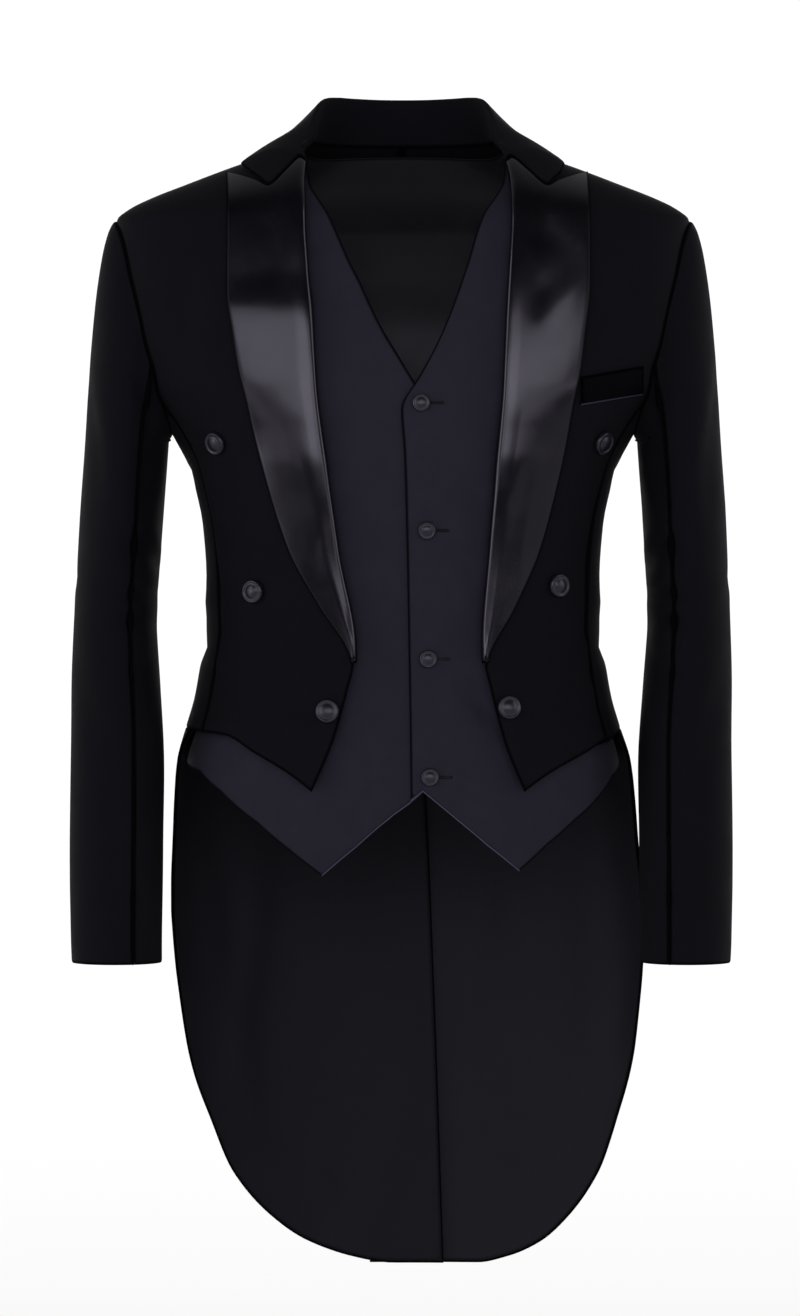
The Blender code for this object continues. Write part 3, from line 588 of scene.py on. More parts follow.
# Creases of each front: from x, from z, to x, to z, half width, lift.
FRONT_CREASES = {
    "left": (
        (214, -225, 168, -330, 13, -2.0), (196, -268, 150, -392, 14, -1.8), (176, -70, 186, -190, 16, -1.6),
        (158, -398, 96, -428, 10, -1.8), (166, -432, 88, -470, 10, -1.9), (130, -470, 104, -515, 9, -1.4),
    ),
    "right": (
        (-212, -222, -172, -322, 13, -2.2), (-190, -262, -150, -380, 14, -1.7),
        (-182, -78, -190, -186, 16, -1.6), (-150, -404, -88, -432, 10, -1.8),
        (-158, -440, -72, -474, 10, -1.8), (-112, -476, -84, -516, 9, -1.5),
    ),
}


def front_x(table, z, side):
    return smooth(FRONT_DRIFT, z) + side * smooth(table, z)


def front_outer(z):
    """The front's outer edge: shoulder seam, armhole, then the seam to the side body."""
    armhole = smooth(ARMHOLE, z, 1)
    below = smooth(FRONT_SEAM, z)
    return np.where(z > ARMHOLE_TOP, 90, np.where(z < ARMHOLE_FOOT, below, armhole))


def front_foot(angle, side, rounds=4):
    """Height of the front's lower edge at these angles, found in a few rounds."""
    z = np.full(np.shape(angle), -500.0)
    for _ in range(rounds):
        x = side * bare_form(angle, z)[..., 0]
        z = smooth(FRONT_HEM, np.abs(x - smooth(FRONT_DRIFT, z)))
    return z


across = shares(34, 150)
for name, side in SIDES:
    low_edge = np.abs(front_angle(front_x(CREASE, FRONT_HEM[0, 1], side), FRONT_HEM[0, 1]))
    z = rows_down(front_foot(between(low_edge, FRONT_SEAM[-1, 1], across), side), 20)
    edge_x = front_x(CREASE, z, side) + side * np.where(z < LAPEL_END, 0, np.interp(z, *TUCK))
    inner = np.abs(front_angle(edge_x, z))
    outer = front_outer(z) - seam_half(z)
    points = mirrored(form(between(np.minimum(inner, outer - 2), outer, across), z), side)
    folds = creased(points[..., [0, 2]], FRONT_CREASES[name])
    cloth_piece(f"coat_front_{name}", points, COAT_WALL, wool, folds)

# Tails: wool skirts that hang from the waist seam behind the hips, rounded at the hem and open at the
# centre vent, where the left one laps over the right. A dull black lining faces each inside.
TAIL_EDGE = np.array([
    (-478, 74), (-488, 78), (-500, 84), (-515, 90), (-545, 96.5), (-600, 101), (-700, 103), (-960, 104),
], float)
TAIL_HEM = np.array([
    (0, -947), (37, -947), (68, -941), (99, -928), (127, -905), (155, -866), (172, -818), (186, -766),
    (194, -700), (199, -625),
], float)
TAIL_LEAN = 8
TAIL_LEAN_AT = (-480, -350)
VENT_LAP = 0.2
VENT_LAP_DROP = 3
VENT_STEP = 5.4
VENT_STEP_AT = (0.66, 0.15)
WAIST_ALLOWANCE = 6
LINING_WALL = 1.0
LINING_GAP = 0.9
LINING_RISE = 2
LINING_MARGIN = 0.005
LINING_PAST_VENT = {"left": 0.035, "right": -0.003}
# Flutes of the tails: from x, from z, to x, to z, half width, lift.
TAIL_CREASES = (
    (-62, -560, -60, -930, 22, 3.4), (-118, -540, -126, -860, 20, -3.0), (-158, -560, -164, -780, 15, 2.2),
    (84, -540, 92, -940, 24, 3.0), (140, -560, 146, -850, 19, -3.0), (-16, -700, -22, -935, 18, -1.8),
    (172, -560, 178, -760, 14, 1.8),
)


def tail_points(side, shift, foot_up, across):
    """A grid over one tail, its columns at these shares from the front edge to the centre vent."""
    across = np.asarray(across)[None, :]
    down = shares(74, 450)[:, None]
    foot_angle = between(TAIL_EDGE[-1, 1], 180, np.minimum(across, 1))
    foot_x = np.abs(bare_form(foot_angle, TAIL_HEM[-1, 1])[..., 0])
    foot = smooth(TAIL_HEM, foot_x) + foot_up
    top = smooth(WAIST[side], between(TAIL_EDGE[0, 1], 180, np.minimum(across, 1))) - SEAM_GAP
    top = top - VENT_LAP_DROP * ramp(across, 1, 0.01)
    z = between(top, foot, down)
    vent = back_angle(side * smooth(BACK_DRIFT, z) + SEAM_GAP / 2, z)
    angle = between(smooth(TAIL_EDGE, z), vent, across)
    step = np.zeros_like(z)
    if side < 0:
        step -= VENT_STEP * ramp(across, *VENT_STEP_AT)
    points = form(angle, z, step + shift)
    points[..., 0] += side * TAIL_LEAN * ramp(z, *TAIL_LEAN_AT) * np.clip(1 - across, 0, 1)
    return mirrored(points, side)


def lining_twill(u, v):
    """The fine steep twill of a lining."""
    return (u + v * 0.5).sine(0.0009)


# The two linings are one cloth painted in two tones, as painted light and shade: the left one is a little
# lighter.
LINING_TONES = {
    "left": ((0.0072, 0.0068, 0.0098), (0.0114, 0.0108, 0.015)),
    "right": ((0.0047, 0.0044, 0.0066), (0.0075, 0.0071, 0.0102)),
}
base = shares(62, 300) ** 1.25
for name, side in SIDES:
    outer = np.concatenate([base, 1 + VENT_LAP * shares(12, 60)[1:]]) if side > 0 else base
    points = tail_points(side, 0, 0, outer)
    folds = creased(points[..., [0, 2]], TAIL_CREASES)
    tuck = {"top": WAIST_ALLOWANCE}
    cloth_piece(f"coat_tail_{name}", points, COAT_WALL, wool, folds, tuck=tuck)
    lining = cloth_look(
        f"lining_{name}", *LINING_TONES[name],
        rough=0.6, gleam=0.12, weave=lining_twill, depth=0.05, sheen=0.006, painted_edge_shade=0.3)
    inner = between(LINING_MARGIN, 1 + LINING_PAST_VENT[name], base)
    points = tail_points(side, -COAT_WALL - LINING_GAP, LINING_RISE, inner)
    folds = creased(points[..., [0, 2]], TAIL_CREASES)
    cloth_piece(
        f"tail_lining_{name}", points, LINING_WALL, lining, folds, 0.2)

# Sleeves: each a wool top sleeve and under sleeve, eased into the armhole over a rounded head.
# They hang straight with a bend at the elbow, where the cloth folds, down to a plain open cuff.
SLEEVE_GAP = 0.8
SLEEVE = np.array([
    (-250, 232, 35, 2, 72), (-307, 236, 35, -1, 68), (-365, 239.5, 34.5, -5, 63),
    (-403, 241, 35, -9, 60), (-451, 240, 37, -15, 57), (-499, 239, 38.5, -22, 54),
    (-588, 239, 39, -33, 51), (-655, 238.6, 38, -42, 49), (-680, 238, 37.5, -46, 49),
], float)
CAP_SHARES = (0, 0.07, 0.17, 0.3, 0.48, 0.72)
SLEEVE_HEAD = 26
SLEEVE_SEAM = 0.8
CAP_SEAM = 1.5
FRONT_SLEEVE_SEAM = 7
BACK_SLEEVE_SEAM = 14
ARMHOLE_POINTS = 22
# The way that the cloth takes out of the armhole at the top, and down into the arm.
HEAD_WAY = np.array([0.94, 0, -0.34])
ARM_WAY = np.array([0.05, 0, -1])
# How far two rows of the sleeve reach under the coat from its edge, and how deep they lie, with the degrees
# round the body for each mm of reach. The under sleeve's allowance lies beneath the top sleeve.
SEWN_IN = ((7, 2.6), (1, 2.5))
DEG_PER_REACH = 0.35
SLEEVE_ALLOWANCE = 1.6
# The left sleeve hangs closer to the body below its upper part. The right one's folds are softer.
LEFT_SLEEVE_IN = 3
LEFT_SLEEVE_AT = (-300, -200)
FOLD_SHARE = {"left": 1, "right": 0.85}
MM_PER_TURN_DEG = 0.8
# Folds of a sleeve: from turn, from z, to turn, to z, half width, lift. Turn 0 is outside and 90 in front.
SLEEVE_CREASES = (
    (78, -330, 176, -352, 8, -2.6), (70, -366, 178, -372, 8, -3.0), (76, -402, 172, -398, 8, -2.4),
    (60, -440, 160, -425, 9, -1.8), (20, -200, 60, -330, 13, -2.0), (-40, -190, -60, -330, 13, -2.0),
    (40, -440, 96, -600, 13, -1.8), (-30, -420, -70, -560, 13, -1.8), (50, -640, 140, -622, 8, -1.5),
    (-20, -600, -110, -640, 9, -1.4), (108, -200, 128, -300, 10, -2.2), (10, -360, -70, -372, 10, -1.6),
    (150, -470, 120, -600, 10, -1.6),
)


def refine(points, places, axis):
    """The grid at these fractional rows or columns, on smooth curves through its own."""
    grid = np.moveaxis(points, axis, 0)
    grid = np.concatenate([2 * grid[:1] - grid[1:2], grid, 2 * grid[-1:] - grid[-2:-1]])
    i = np.clip(np.floor(places).astype(int), 0, len(grid) - 4)
    t = (places - i)[(...,) + (None,) * (grid.ndim - 1)]
    a, b, c, d = grid[i], grid[i + 1], grid[i + 2], grid[i + 3]
    made = b + 0.5 * t * (c - a + t * (2 * a - 5 * b + 4 * c - d + t * (3 * (b - c) + d - a)))
    return np.moveaxis(made, 0, axis)


def fine_places(count, per, near=0.05):
    """Fractional places along a coarse grid, with two more near each end."""
    places = np.linspace(0, count - 1, (count - 1) * per + 1)
    ends = np.array([near * 0.4, near * 1.4])
    return np.concatenate([places[:1], ends, places[1:-1], count - 1 - ends[::-1], places[-1:]])


def armhole_at(places, reach=0, inset=0):
    """Points round the left armhole at these places: down the front, under the arm and up the back.

    With a reach and an inset they lie that far under the coat's edge, where the sleeve is sewn in.
    """
    rows = [z for z in TORSO_ROWS if -215 <= z <= -60]
    angles = [0] * len(rows) + [angle for angle, z in UNDERARM[1:-1]] + [0] * len(rows)
    heights = rows + [z for angle, z in UNDERARM[1:-1]] + rows[::-1]
    number = np.arange(len(heights))
    places = places % (len(heights) - 1)
    z = np.interp(places, number, heights)
    angles[len(rows) - 1], angles[len(rows) + 3] = UNDERARM[0, 0], UNDERARM[-1, 0]
    angle = np.interp(places, number, angles)
    below = (places > len(rows) - 1) & (places < len(rows) + 3)
    z = np.where(below, smooth(UNDERARM, angle), z)
    angle = np.where(below, angle, np.where(places < len(rows), front_outer(z), back_outer(z)))
    towards = np.where(below, 0, np.where(places < len(rows), -1, 1))
    spots = form(angle + towards * reach * DEG_PER_REACH, z - below * reach, -inset)
    return spots + (SLEEVE_GAP * (reach == 0), 0, 0)


for piece, first, last in (
    ("top_sleeve", BACK_SLEEVE_SEAM - ARMHOLE_POINTS, FRONT_SLEEVE_SEAM),
    ("under_sleeve", FRONT_SLEEVE_SEAM, BACK_SLEEVE_SEAM),
):
    places = last - fine_places(last - first + 1, 4)
    armhole = armhole_at(places)
    turn = places * 2 * np.pi / ARMHOLE_POINTS
    rings = [
        np.stack([x + half * np.cos(turn), y - deep * np.sin(turn), np.full(len(turn), height)], 1)
        for height, x, half, y, deep in SLEEVE
    ]
    head = np.clip(np.cos(turn), 0, 1)[:, None]
    ahead = rings[0] - armhole
    ahead /= np.linalg.norm(ahead, axis=1, keepdims=True)
    leave = between(ahead, HEAD_WAY, head) * SLEEVE_HEAD * 2
    reach = np.linalg.norm(rings[0] - armhole, axis=1)[:, None]
    arrive = ARM_WAY * reach * 0.9
    cap = []
    for t in CAP_SHARES:
        held = (1 + 2 * t) * (1 - t) ** 2 * armhole + t * (1 - t) ** 2 * leave
        cap.append(held + t * t * (3 - 2 * t) * rings[0] + t * t * (t - 1) * arrive)
    points = np.array(cap + rings)
    seam = np.where(np.arange(len(points))[:, None] < len(CAP_SHARES), CAP_SEAM, SLEEVE_SEAM) * 0.4
    for end, inward in ((0, 4), (-1, -5)):
        along = points[:, inward] - points[:, end]
        points[:, end] += along / np.linalg.norm(along, axis=1, keepdims=True) * seam
    points = refine(points, fine_places(len(points), 8, 0.03), 0)
    sewn_in = np.stack([armhole_at(places, *row) for row in SEWN_IN])
    round_arm = np.degrees(turn) * MM_PER_TURN_DEG
    at = np.stack([np.broadcast_to(round_arm, points.shape[:2]), points[..., 2]], -1)
    table = np.array(SLEEVE_CREASES) * (MM_PER_TURN_DEG, 1, MM_PER_TURN_DEG, 1, 1, 1)
    for name, side in SIDES:
        folds = (creased(at, table) * FOLD_SHARE[name])[:, ::side]
        tuck = dict.fromkeys(("first", "last"), SLEEVE_ALLOWANCE) if piece == "under_sleeve" else {}
        placed = mirrored(points, side).copy()
        if side > 0:
            placed[..., 0] -= LEFT_SLEEVE_IN * ramp(placed[..., 2], *LEFT_SLEEVE_AT)
        cloth_piece(
            f"{piece}_{name}", placed, COAT_WALL, wool, folds,
            tuck=tuck, inside=mirrored(sewn_in, side))

# Lapels: peaked and faced in black satin, one on each front. Each turns back at the crease in a soft roll
# with no sharp fold, and lies on the chest down to the waist.
LAPEL_WALL = 1.8
LAPEL_OUTER = np.array([
    (-10, 149.5), (-60, 149.5), (-112, 149.5), (-127, 149), (-158, 145), (-189, 140.5), (-220, 133),
    (-251, 126), (-337, 103), (-384, 80.7), (-428, 57), (-436, 56),
], float)
LAPEL_TOP = np.array([(0, -14), (0.42, -37.5), (0.67, -31), (0.84, -27.5), (1, -25)], float)
# The rolled edge in section. Where it reaches 3 mm in, it does so only from a lapel width of ROLL_FULL on.
ROLL = np.array([(9, -4.8), (3, -5.0), (-1.6, -3.7), (-2.6, -1.1), (-1.2, 1.9), (3, 3.7)], float)
ROLL_FULL = 40
LAPEL_FACE = np.array([(0.2, 4.7), (0.42, 4.2), (0.6, 3.9), (0.8, 3.7), (1, 3.6)], float)
# Soft waves of the facing: from x, from z, to x, to z, half width, lift.
LAPEL_CREASES = {
    "left": ((116, -60, 110, -142, 13, -1.5), (116, -250, 84, -380, 8, -0.4)),
    "right": ((-92, -150, -74, -360, 8, -0.4), (-120, -250, -84, -380, 8, -0.4)),
}
# How the facing swells over the chest and the canvas, by height, and how its outer side rises at the peak:
# from PEAK_OUT across and PEAK_UP up, each with the width of its ramp.
LAPEL_SWELL = {
    "left": np.array([
        (-14, 0), (-90, 0), (-150, 0.5), (-205, 0.5), (-235, 1.5), (-262, 2.2), (-300, 1.3), (-345, 0.8),
        (-400, 0.6), (-431, -0.4),
    ], float),
    "right": np.array([
        (-14, 0), (-60, 0), (-107, 0.3), (-139, 2.1), (-142, 2.1), (-175, 1.1), (-205, 0.6), (-235, 1.6),
        (-262, 2.3), (-300, 1.3), (-345, 0.8), (-400, 0.6), (-431, -0.4),
    ], float),
}
PEAK_RISE = {"left": 0.9, "right": 0.5}
PEAK_OUT = (95, 50)
PEAK_UP = (-165, 95)


def roll_columns(side, z, width):
    """Points of the rolled edge at these heights, one column for each row of ROLL."""
    into = ROLL[:, 0] * np.where(ROLL[:, 0] == 3, np.clip(width / ROLL_FULL, 0.1, 1), 1)
    x = front_x(CREASE, z, side) + side * into
    return form(front_angle(x, z), z, ROLL[:, 1] + np.zeros_like(z))


def satin_threads(u, v):
    """Long smooth floats that lie across the facing, so it shines."""
    return v.sine(0.0006) * 0.9 + (u + v * 5).sine(0.0031) * 0.1


satin = cloth_look(
    "black_satin", (0.0013, 0.0012, 0.0021), (0.002, 0.0018, 0.0031),
    rough=0.2, gleam=0.44, weave=satin_threads, depth=0.006, mottle=25, painted_edge_shade=1.0)
down = (shares(110, 420) ** 1.15)[:, None]
for name, side in SIDES:
    roll_z = between(LAPEL_TOP[0, 1], LAPEL_END, down)
    width = smooth(LAPEL_OUTER, roll_z) - smooth(CREASE, roll_z)
    rolled = roll_columns(side, roll_z + np.zeros(len(ROLL)), width)
    share = LAPEL_FACE[:, 0]
    face_z = between(np.interp(share, LAPEL_TOP[:, 0], LAPEL_TOP[:, 1]), LAPEL_END, down)
    half = between(smooth(CREASE, face_z), smooth(LAPEL_OUTER, face_z), share)
    x = smooth(FRONT_DRIFT, face_z) + side * half
    face = form(front_angle(x, face_z), face_z, LAPEL_FACE[:, 1] + np.zeros_like(face_z))
    points = np.concatenate([rolled, face], axis=1)
    points = refine(points, fine_places(points.shape[1], 5), 1)
    points = points[:, ::side]
    height = points[..., 2]
    folds = creased(points[..., [0, 2]], LAPEL_CREASES[name]) + smooth(LAPEL_SWELL[name], height)
    outer = ramp(np.abs(points[..., 0] - smooth(FRONT_DRIFT, height)), *PEAK_OUT)
    upper = ramp(height, *PEAK_UP)
    folds += PEAK_RISE[name] * outer * upper * upper * (3 - 2 * upper)
    cloth_piece(
        f"lapel_{name}", points, LAPEL_WALL, satin, folds, 0.5)

# Collar: one band of the coat's wool that stands round the neck, folds over at the top and falls outside,
# from notch to notch. It is sewn to the neck edge and meets the lapels in the gorge seams.
COLLAR = np.array([
    (46, -9, 10, 83, -53, -5, 59, -19, 3), (51, -5, 10, 80, -43, 3, 68, -14.5, 4),
    (64, 3, 9, 76.5, -28, 17, 84, -9.5, 3), (79, 9, 6.8, 72.5, -11, 31, 94, -8, -1),
    (96, 10, 5.2, 67, 7, 41, 103, -7, -2), (116, 10, 4.5, 58, 26, 44, 118, -6, -2),
    (136, 10, 4.5, 43, 42, 44.5, 136, -6, -2), (158, 10, 4.5, 22, 53, 44.5, 157, -6, -2),
    (180, 10, 4.5, 0, 56, 44.5, 180, -6, -2),
], float)
COLLAR_END = np.array([(0.2, 0.8, 4.9), (0.42, 0.8, 4.4), (0.53, 3, 4.2), (0.63, 6.5, 4.0)], float)
STAND_DIP = 4
STAND_FACES = -100
STAND_MIDDLE = 0.55
COLLAR_LIFT = 4.0
COLLAR_GAP = 0.8
FOLD_HALF = 2.5
FOLD_RISE = 1.6
FALL_SHARES = (0.08, 0.3, 0.55, 0.78, 1)


def collar_end(side):
    """The collar's front end, just above the lapel's top edge."""
    z = np.full((1, len(ROLL)), LAPEL_TOP[0, 1] + COLLAR_GAP)
    rolled = roll_columns(side, z, smooth(LAPEL_OUTER, z) - smooth(CREASE, z))[0]
    share, rise, lift = COLLAR_END.T
    face_z = np.interp(share, LAPEL_TOP[:, 0], LAPEL_TOP[:, 1]) + rise
    half = between(smooth(CREASE, face_z), smooth(LAPEL_OUTER, face_z), share)
    face = form(front_angle(smooth(FRONT_DRIFT, face_z) + side * half, face_z), face_z, lift)
    return np.concatenate([rolled, face])


def collar_station(row):
    """One cross-section of the left half: up the stand, over the fold and down the fall."""
    seam_angle, seam_z, inset, fold_x, fold_y, fold_z, edge_angle, edge_z, bulge = row
    fold = np.array([fold_x, fold_y, fold_z])
    out = form_normal(seam_angle, STAND_FACES) * (1, 1, 0)
    out /= np.linalg.norm(out)
    foot = bare_form(seam_angle, seam_z) - out * inset - (0, 0, STAND_DIP)
    fold_in = fold - out * FOLD_HALF
    fold_out = fold + out * FOLD_HALF
    edge = form(edge_angle, edge_z, COLLAR_LIFT)
    lift = form_normal(edge_angle, edge_z)
    fall = [between(fold_out, edge, s) + lift * bulge * 4 * s * (1 - s) for s in FALL_SHARES]
    stand = [foot, between(foot, fold_in, STAND_MIDDLE), fold_in, fold + (0, 0, FOLD_RISE)]
    return np.array(stand + [fold_out] + fall)


left_half = [collar_end(1)] + [collar_station(row) for row in COLLAR]
right_half = [collar_end(-1)] + [collar_station(row) * (-1, 1, 1) for row in COLLAR[:-1]]
points = np.swapaxes(np.array(left_half + right_half[::-1]), 0, 1)
points = refine(refine(points, fine_places(points.shape[1], 7, 0.04), 1), fine_places(len(points), 5), 0)
cloth_piece(
    "coat_collar", points, LAPEL_WALL, wool, 0, 0.5)

# Breast welt: a narrow satin strip sewn flat over the mouth of the breast pocket on the left front.
WELT = {"from_x": 146, "to_x": 198, "top": -195.5, "rise": 10.5, "tall": 23, "lift": 2.6, "wall": 1.9}
# The welt's lower edge is given a strong painted highlight along its whole width.
WELT_HIGHLIGHT_X = (100, 300)
across = shares(16, WELT["to_x"] - WELT["from_x"])[None, :]
down = shares(10, WELT["tall"])[:, None]
x = between(WELT["from_x"], WELT["to_x"], across) + 0 * down
z = WELT["top"] + WELT["rise"] * across - WELT["tall"] * down
points = form(front_angle(x, z), z, WELT["lift"] + 0 * z)
dull = cloth_look(
    "welt_satin", (0.0007, 0.0006, 0.0012), (0.0012, 0.0011, 0.002),
    rough=0.6, gleam=0.03, weave=satin_threads, depth=0.02, mottle=25, hem_glow=30)
cloth_piece(
    "breast_welt", points, WELT["wall"], dull,
    highlight_x=WELT_HIGHLIGHT_X)

# Waistcoat: two charcoal suiting fronts that button left over right, pointed at the hem, and one back of
# lining satin. It is worn under the coat and hangs from its own shoulder seams.
VEST_WALL = 1.5
VEST_INSET = 9.0
VEST_TOP = -3
VEST_BACK_TOP = 6
VEST_OVER_EDGE = np.array([
    (22, 84), (6, 85), (-10, 86), (-28, 83.5), (-42, 76), (-55, 68), (-75, 60.5), (-96, 54.6), (-116, 48),
    (-136, 41), (-156, 33), (-176, 23.5), (-197, 12), (-222, -1.7), (-260, 0.8), (-337, 3), (-444, 5),
    (-508, 6), (-620, 7),
], float)
VEST_UNDER_EDGE = np.array([
    (22, -79), (6, -80), (-10, -81), (-28, -78), (-42, -70.5), (-55, -63), (-75, -54), (-96, -45),
    (-116, -35), (-136, -26), (-156, -16), (-176, -4), (-197, 8.4), (-215, 20), (-240, 27), (-337, 32),
    (-508, 34), (-620, 34),
], float)
VEST_ARMHOLE = np.array([
    (22, 90), (-16, 90), (-20, 78), (-27, 64), (-40, 50), (-60, 41), (-100, 39), (-150, 41), (-200, 52),
    (-230, 66), (-250, 79), (-262, 90), (-620, 90),
], float)
VEST_OVER_HEM = np.array([
    (7, -545), (17, -537), (31, -548.5), (45, -560), (72, -582.5), (98, -603), (122, -582), (146, -562),
    (170, -541), (182, -525), (190, -511),
], float)
VEST_UNDER_HEM = np.array([
    (34, -529), (17, -537), (-10, -559), (-38, -583), (-67, -607), (-95, -586.5), (-123, -564),
    (-156, -538), (-176, -521), (-190, -512),
], float)
VEST_BACK_HEM = -511
VEST_BACK_EASE = 4.0
VEST_BACK_EASE_OVER = 30
VEST_LAP_STEP = 2.6
VEST_LAP_AT = (-12, 10)
# The range of x where the waistcoat's hem is given a painted highlight.
VEST_HIGHLIGHT_X = (-67, 98)
# Creases of the waistcoat: from x, from z, to x, to z, half width, lift.
VEST_CREASES = (
    (37, -443, 78, -484, 8, -2.2), (52, -440, 96, -470, 9, -1.6), (-17, -438, -34, -446, 8, -1.4),
    (16, -330, 66, -348, 10, -1.3), (14, -326, -48, -350, 10, -1.2), (18, -430, 60, -420, 9, -1.3),
    (18, -430, -46, -412, 10, -1.3), (30, -240, 70, -300, 12, -1.2), (-20, -250, -66, -310, 12, -1.2),
    (-60, -480, -110, -520, 10, -1.6), (120, -470, 150, -520, 10, -1.4), (22, -520, 60, -512, 8, -1.0),
)


def plain_weave(u, v):
    """Warp over weft in a fine even check."""
    return u.sine(0.0009) * v.sine(0.0009)


suiting = cloth_look(
    "charcoal_suiting", (0.0098, 0.009, 0.0166), (0.0182, 0.017, 0.0292),
    rough=0.74, gleam=0.16, weave=plain_weave, depth=0.1, sheen=0.04, mottle=60, painted_edge_shade=0.85)
back_satin = cloth_look(
    "back_satin", (0.008, 0.008, 0.01), (0.013, 0.013, 0.016),
    rough=0.42, gleam=0.35, weave=lining_twill, depth=0.03)
down = (shares(120, 560) ** 1.2)[:, None]
for name, side, edge_table, hem in (
    ("left", 1, VEST_OVER_EDGE, VEST_OVER_HEM), ("right", -1, VEST_UNDER_EDGE, VEST_UNDER_HEM),
):
    hem_angle = np.append(front_angle(hem[:-1, 0], hem[:-1, 1]), side * (90 - SEAM_DEG))
    corners = (hem_angle - hem_angle[0]) / (hem_angle[-1] - hem_angle[0])
    across = np.unique(np.concatenate([shares(44, 190), corners]))[None, :]
    foot = np.interp(across, corners, hem[:, 1])
    z = between(VEST_TOP, foot, down)
    inner = front_angle(smooth(edge_table, z), z)
    outer = side * (smooth(VEST_ARMHOLE, z) - SEAM_DEG)
    angle = between(inner, outer, across)
    lift = np.full_like(z, -VEST_INSET)
    if side < 0:
        lift -= VEST_LAP_STEP * ramp(angle, *VEST_LAP_AT)
    points = form(angle, z, lift)[:, ::side]
    folds = creased(points[..., [0, 2]], VEST_CREASES)
    cloth_piece(
        f"waistcoat_front_{name}", points, VEST_WALL, suiting, folds, 0.5,
        highlight_x=VEST_HIGHLIGHT_X)
across = shares(60, 400)[None, :]
z = between(VEST_BACK_TOP, VEST_BACK_HEM, down) + np.zeros_like(across)
outer = 180 - smooth(VEST_ARMHOLE, z)
angle = between(outer + SEAM_DEG, 360 - outer - SEAM_DEG, across)
deeper = VEST_BACK_EASE * ramp(np.abs(angle - 180), 90, -VEST_BACK_EASE_OVER)
points = form(angle, z, -VEST_INSET - deeper)
cloth_piece(
    "waistcoat_back", points, VEST_WALL, back_satin, 0, 0.5, tuck=BOTH_SIDES)

# Buttons: domed moulds covered in the coat's and the waistcoat's satin, sewn on through a shank.
BUTTON_PROFILE = np.array([
    (0, 0.52), (0.18, 0.51), (0.34, 0.48), (0.48, 0.43), (0.58, 0.375), (0.65, 0.345), (0.71, 0.35),
    (0.77, 0.385), (0.83, 0.41), (0.89, 0.395), (0.95, 0.32), (0.99, 0.21), (1, 0.11), (0.97, 0.03),
    (0.8, 0), (0, 0),
])
COAT_BUTTONS = (
    ("left_1", 165, -248), ("left_2", 128, -367), ("left_3", 87, -468),
    ("right_1", -154, -249), ("right_2", -123, -372), ("right_3", -62, -471),
)
VEST_BUTTONS = (("1", 15, -217), ("2", 20, -323), ("3", 21, -428), ("4", 22.5, -525))
BUTTON_TURNS = 56
# Small puckers of the cover round the rim, and each kind of button's lift off the form and radius.
PUCKERS = 14
PUCKER_DEPTH = 0.012
COAT_BUTTON = (0.6, 10)
VEST_BUTTON = (0.35 - VEST_INSET, 7.5)


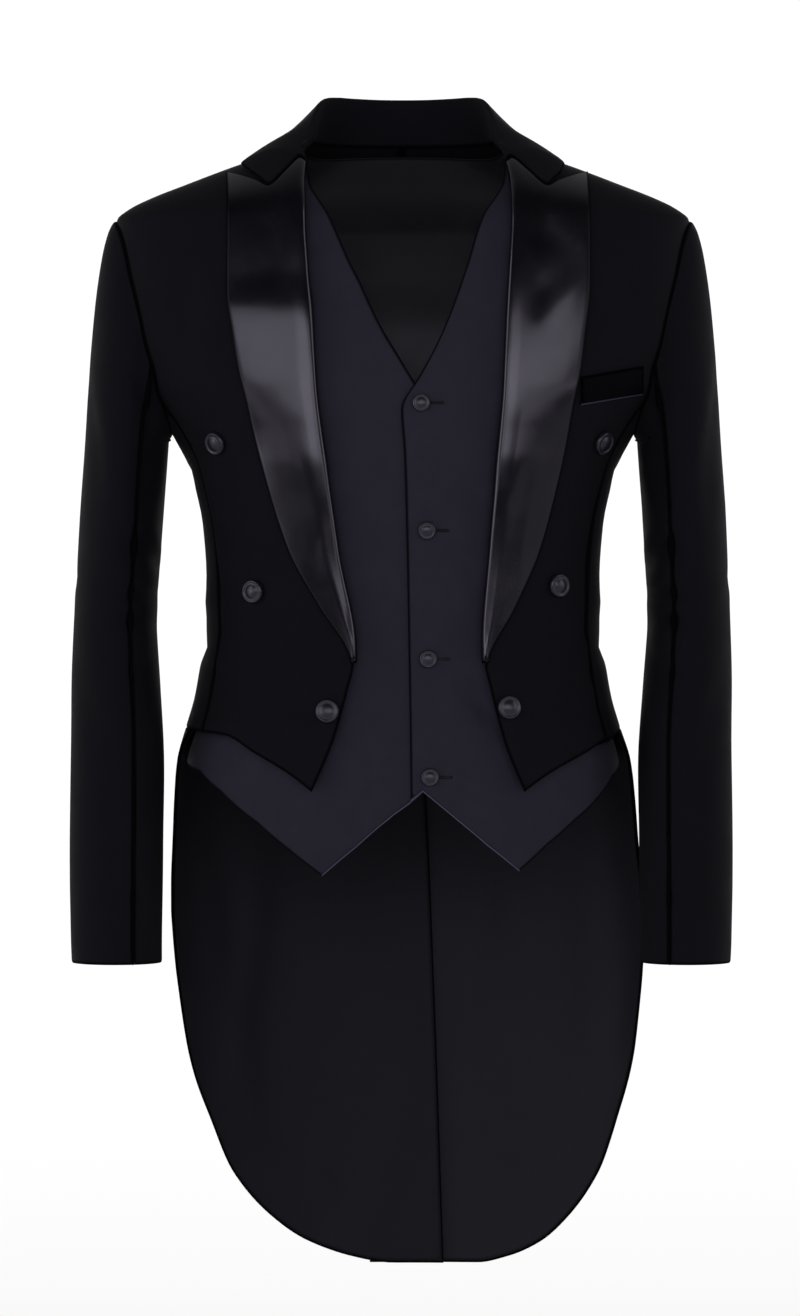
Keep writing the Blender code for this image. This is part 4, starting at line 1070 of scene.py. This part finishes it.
def covered_button(node, x, z, lift, radius, look):
    """A dome turned about its own axis, its back on the cloth, with its cover drawn tight to the rim."""
    turn = np.linspace(0, 2 * np.pi, BUTTON_TURNS, endpoint=False)
    pucker = 1 + PUCKER_DEPTH * np.sin(PUCKERS * turn)[:, None] * (BUTTON_PROFILE[:, 0] > 0.95)
    around = BUTTON_PROFILE[None, :, 0] * pucker * radius
    rise = np.broadcast_to(BUTTON_PROFILE[None, :, 1] * radius, around.shape)
    local = np.stack([around * np.cos(turn)[:, None], around * np.sin(turn)[:, None], rise], -1)
    angle = front_angle(x, z)
    out = form_normal(angle, z)
    rim_x, rim_z = x + radius * np.cos(turn), z + radius * np.sin(turn)
    middle = form(angle, z, lift)
    seat = max(0, ((form(front_angle(rim_x, rim_z), rim_z, lift + 0 * turn) - middle) @ out).max())
    side = np.cross((0, 0, 1), out)
    side /= np.linalg.norm(side)
    axes = np.array([side, np.cross(out, side), out])
    points = middle + out * seat + local @ axes
    last = len(BUTTON_PROFILE) - 2
    places = np.array([points[0, 0], *points[:, 1:-1].reshape(-1, 3), points[0, -1]])
    flat = np.array([(0, 0), *local[:, 1:-1, :2].reshape(-1, 2), (0, 0)])

    def ring(t, row):
        return 1 + (t % BUTTON_TURNS) * last + row

    faces = []
    for t in range(BUTTON_TURNS):
        faces.append((0, ring(t, 0), ring(t + 1, 0)))
        faces.append((len(places) - 1, ring(t + 1, last - 1), ring(t, last - 1)))
        faces += [(ring(t, r), ring(t, r + 1), ring(t + 1, r + 1), ring(t + 1, r)) for r in range(last - 1)]
    piece = drawn(node + "_cover", places, faces, flat, look)
    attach(piece, "root")
    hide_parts(node)


cover = cloth_look(
    "button_satin", (0.0012, 0.0011, 0.0018), (0.002, 0.0018, 0.003),
    rough=0.18, gleam=0.5, weave=satin_threads, depth=0.01, mottle=80)
for name, x, z in COAT_BUTTONS:
    covered_button(f"coat_button_{name}", x, z, *COAT_BUTTON, cover)
for name, x, z in VEST_BUTTONS:
    covered_button(f"waistcoat_button_{name}", x, z, *VEST_BUTTON, cover)

# Buttonholes of the waistcoat: slits in the front that laps over, each bound in close dark stitches.
HOLE_FROM = 6.5
HOLE_LENGTH = 13
HOLE_HALF = 1.3
HOLE_STITCHES = 70
THREAD_WALL = 0.3
THREAD_OFF = 0.02
# The binding in section, from one side of the slit to the other.
STITCH = np.array([0, 0.3, 0.42, 0.45, 0.38, 0.1, -0.2, 0.1, 0.38, 0.45, 0.42, 0.3, 0])[:, None]
across = np.linspace(0, 1, HOLE_STITCHES)[None, :]
over = np.linspace(-1, 1, len(STITCH))[:, None]
from_end = np.minimum(across, 1 - across)
sewn = STITCH * (0.85 + 0.15 * np.sin(across * HOLE_STITCHES * np.pi)) * ramp(from_end, 0, 0.04)
thread = cloth_look(
    "buttonhole_thread", (0.001, 0.001, 0.0015), (0.002, 0.002, 0.0028),
    rough=0.6, gleam=0.1, weave=plain_weave, depth=0.1)
for name, x, z in VEST_BUTTONS:
    at_x = x + HOLE_FROM + HOLE_LENGTH * across + 0 * over
    at_z = z - HOLE_HALF * over * np.clip(from_end / 0.06, 0.3, 1)
    angle = front_angle(at_x, at_z)
    folds = creased(bare_form(angle, at_z)[..., [0, 2]], VEST_CREASES)
    points = form(angle, at_z, folds - VEST_INSET + THREAD_OFF + sewn).reshape(-1, 3)
    flat = np.stack([at_x, at_z], -1).reshape(-1, 2)
    piece = drawn(f"buttonhole_{name}", points, grid_faces(*at_x.shape), flat, thread)
    thicken(piece, THREAD_WALL)
    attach(piece, "root")
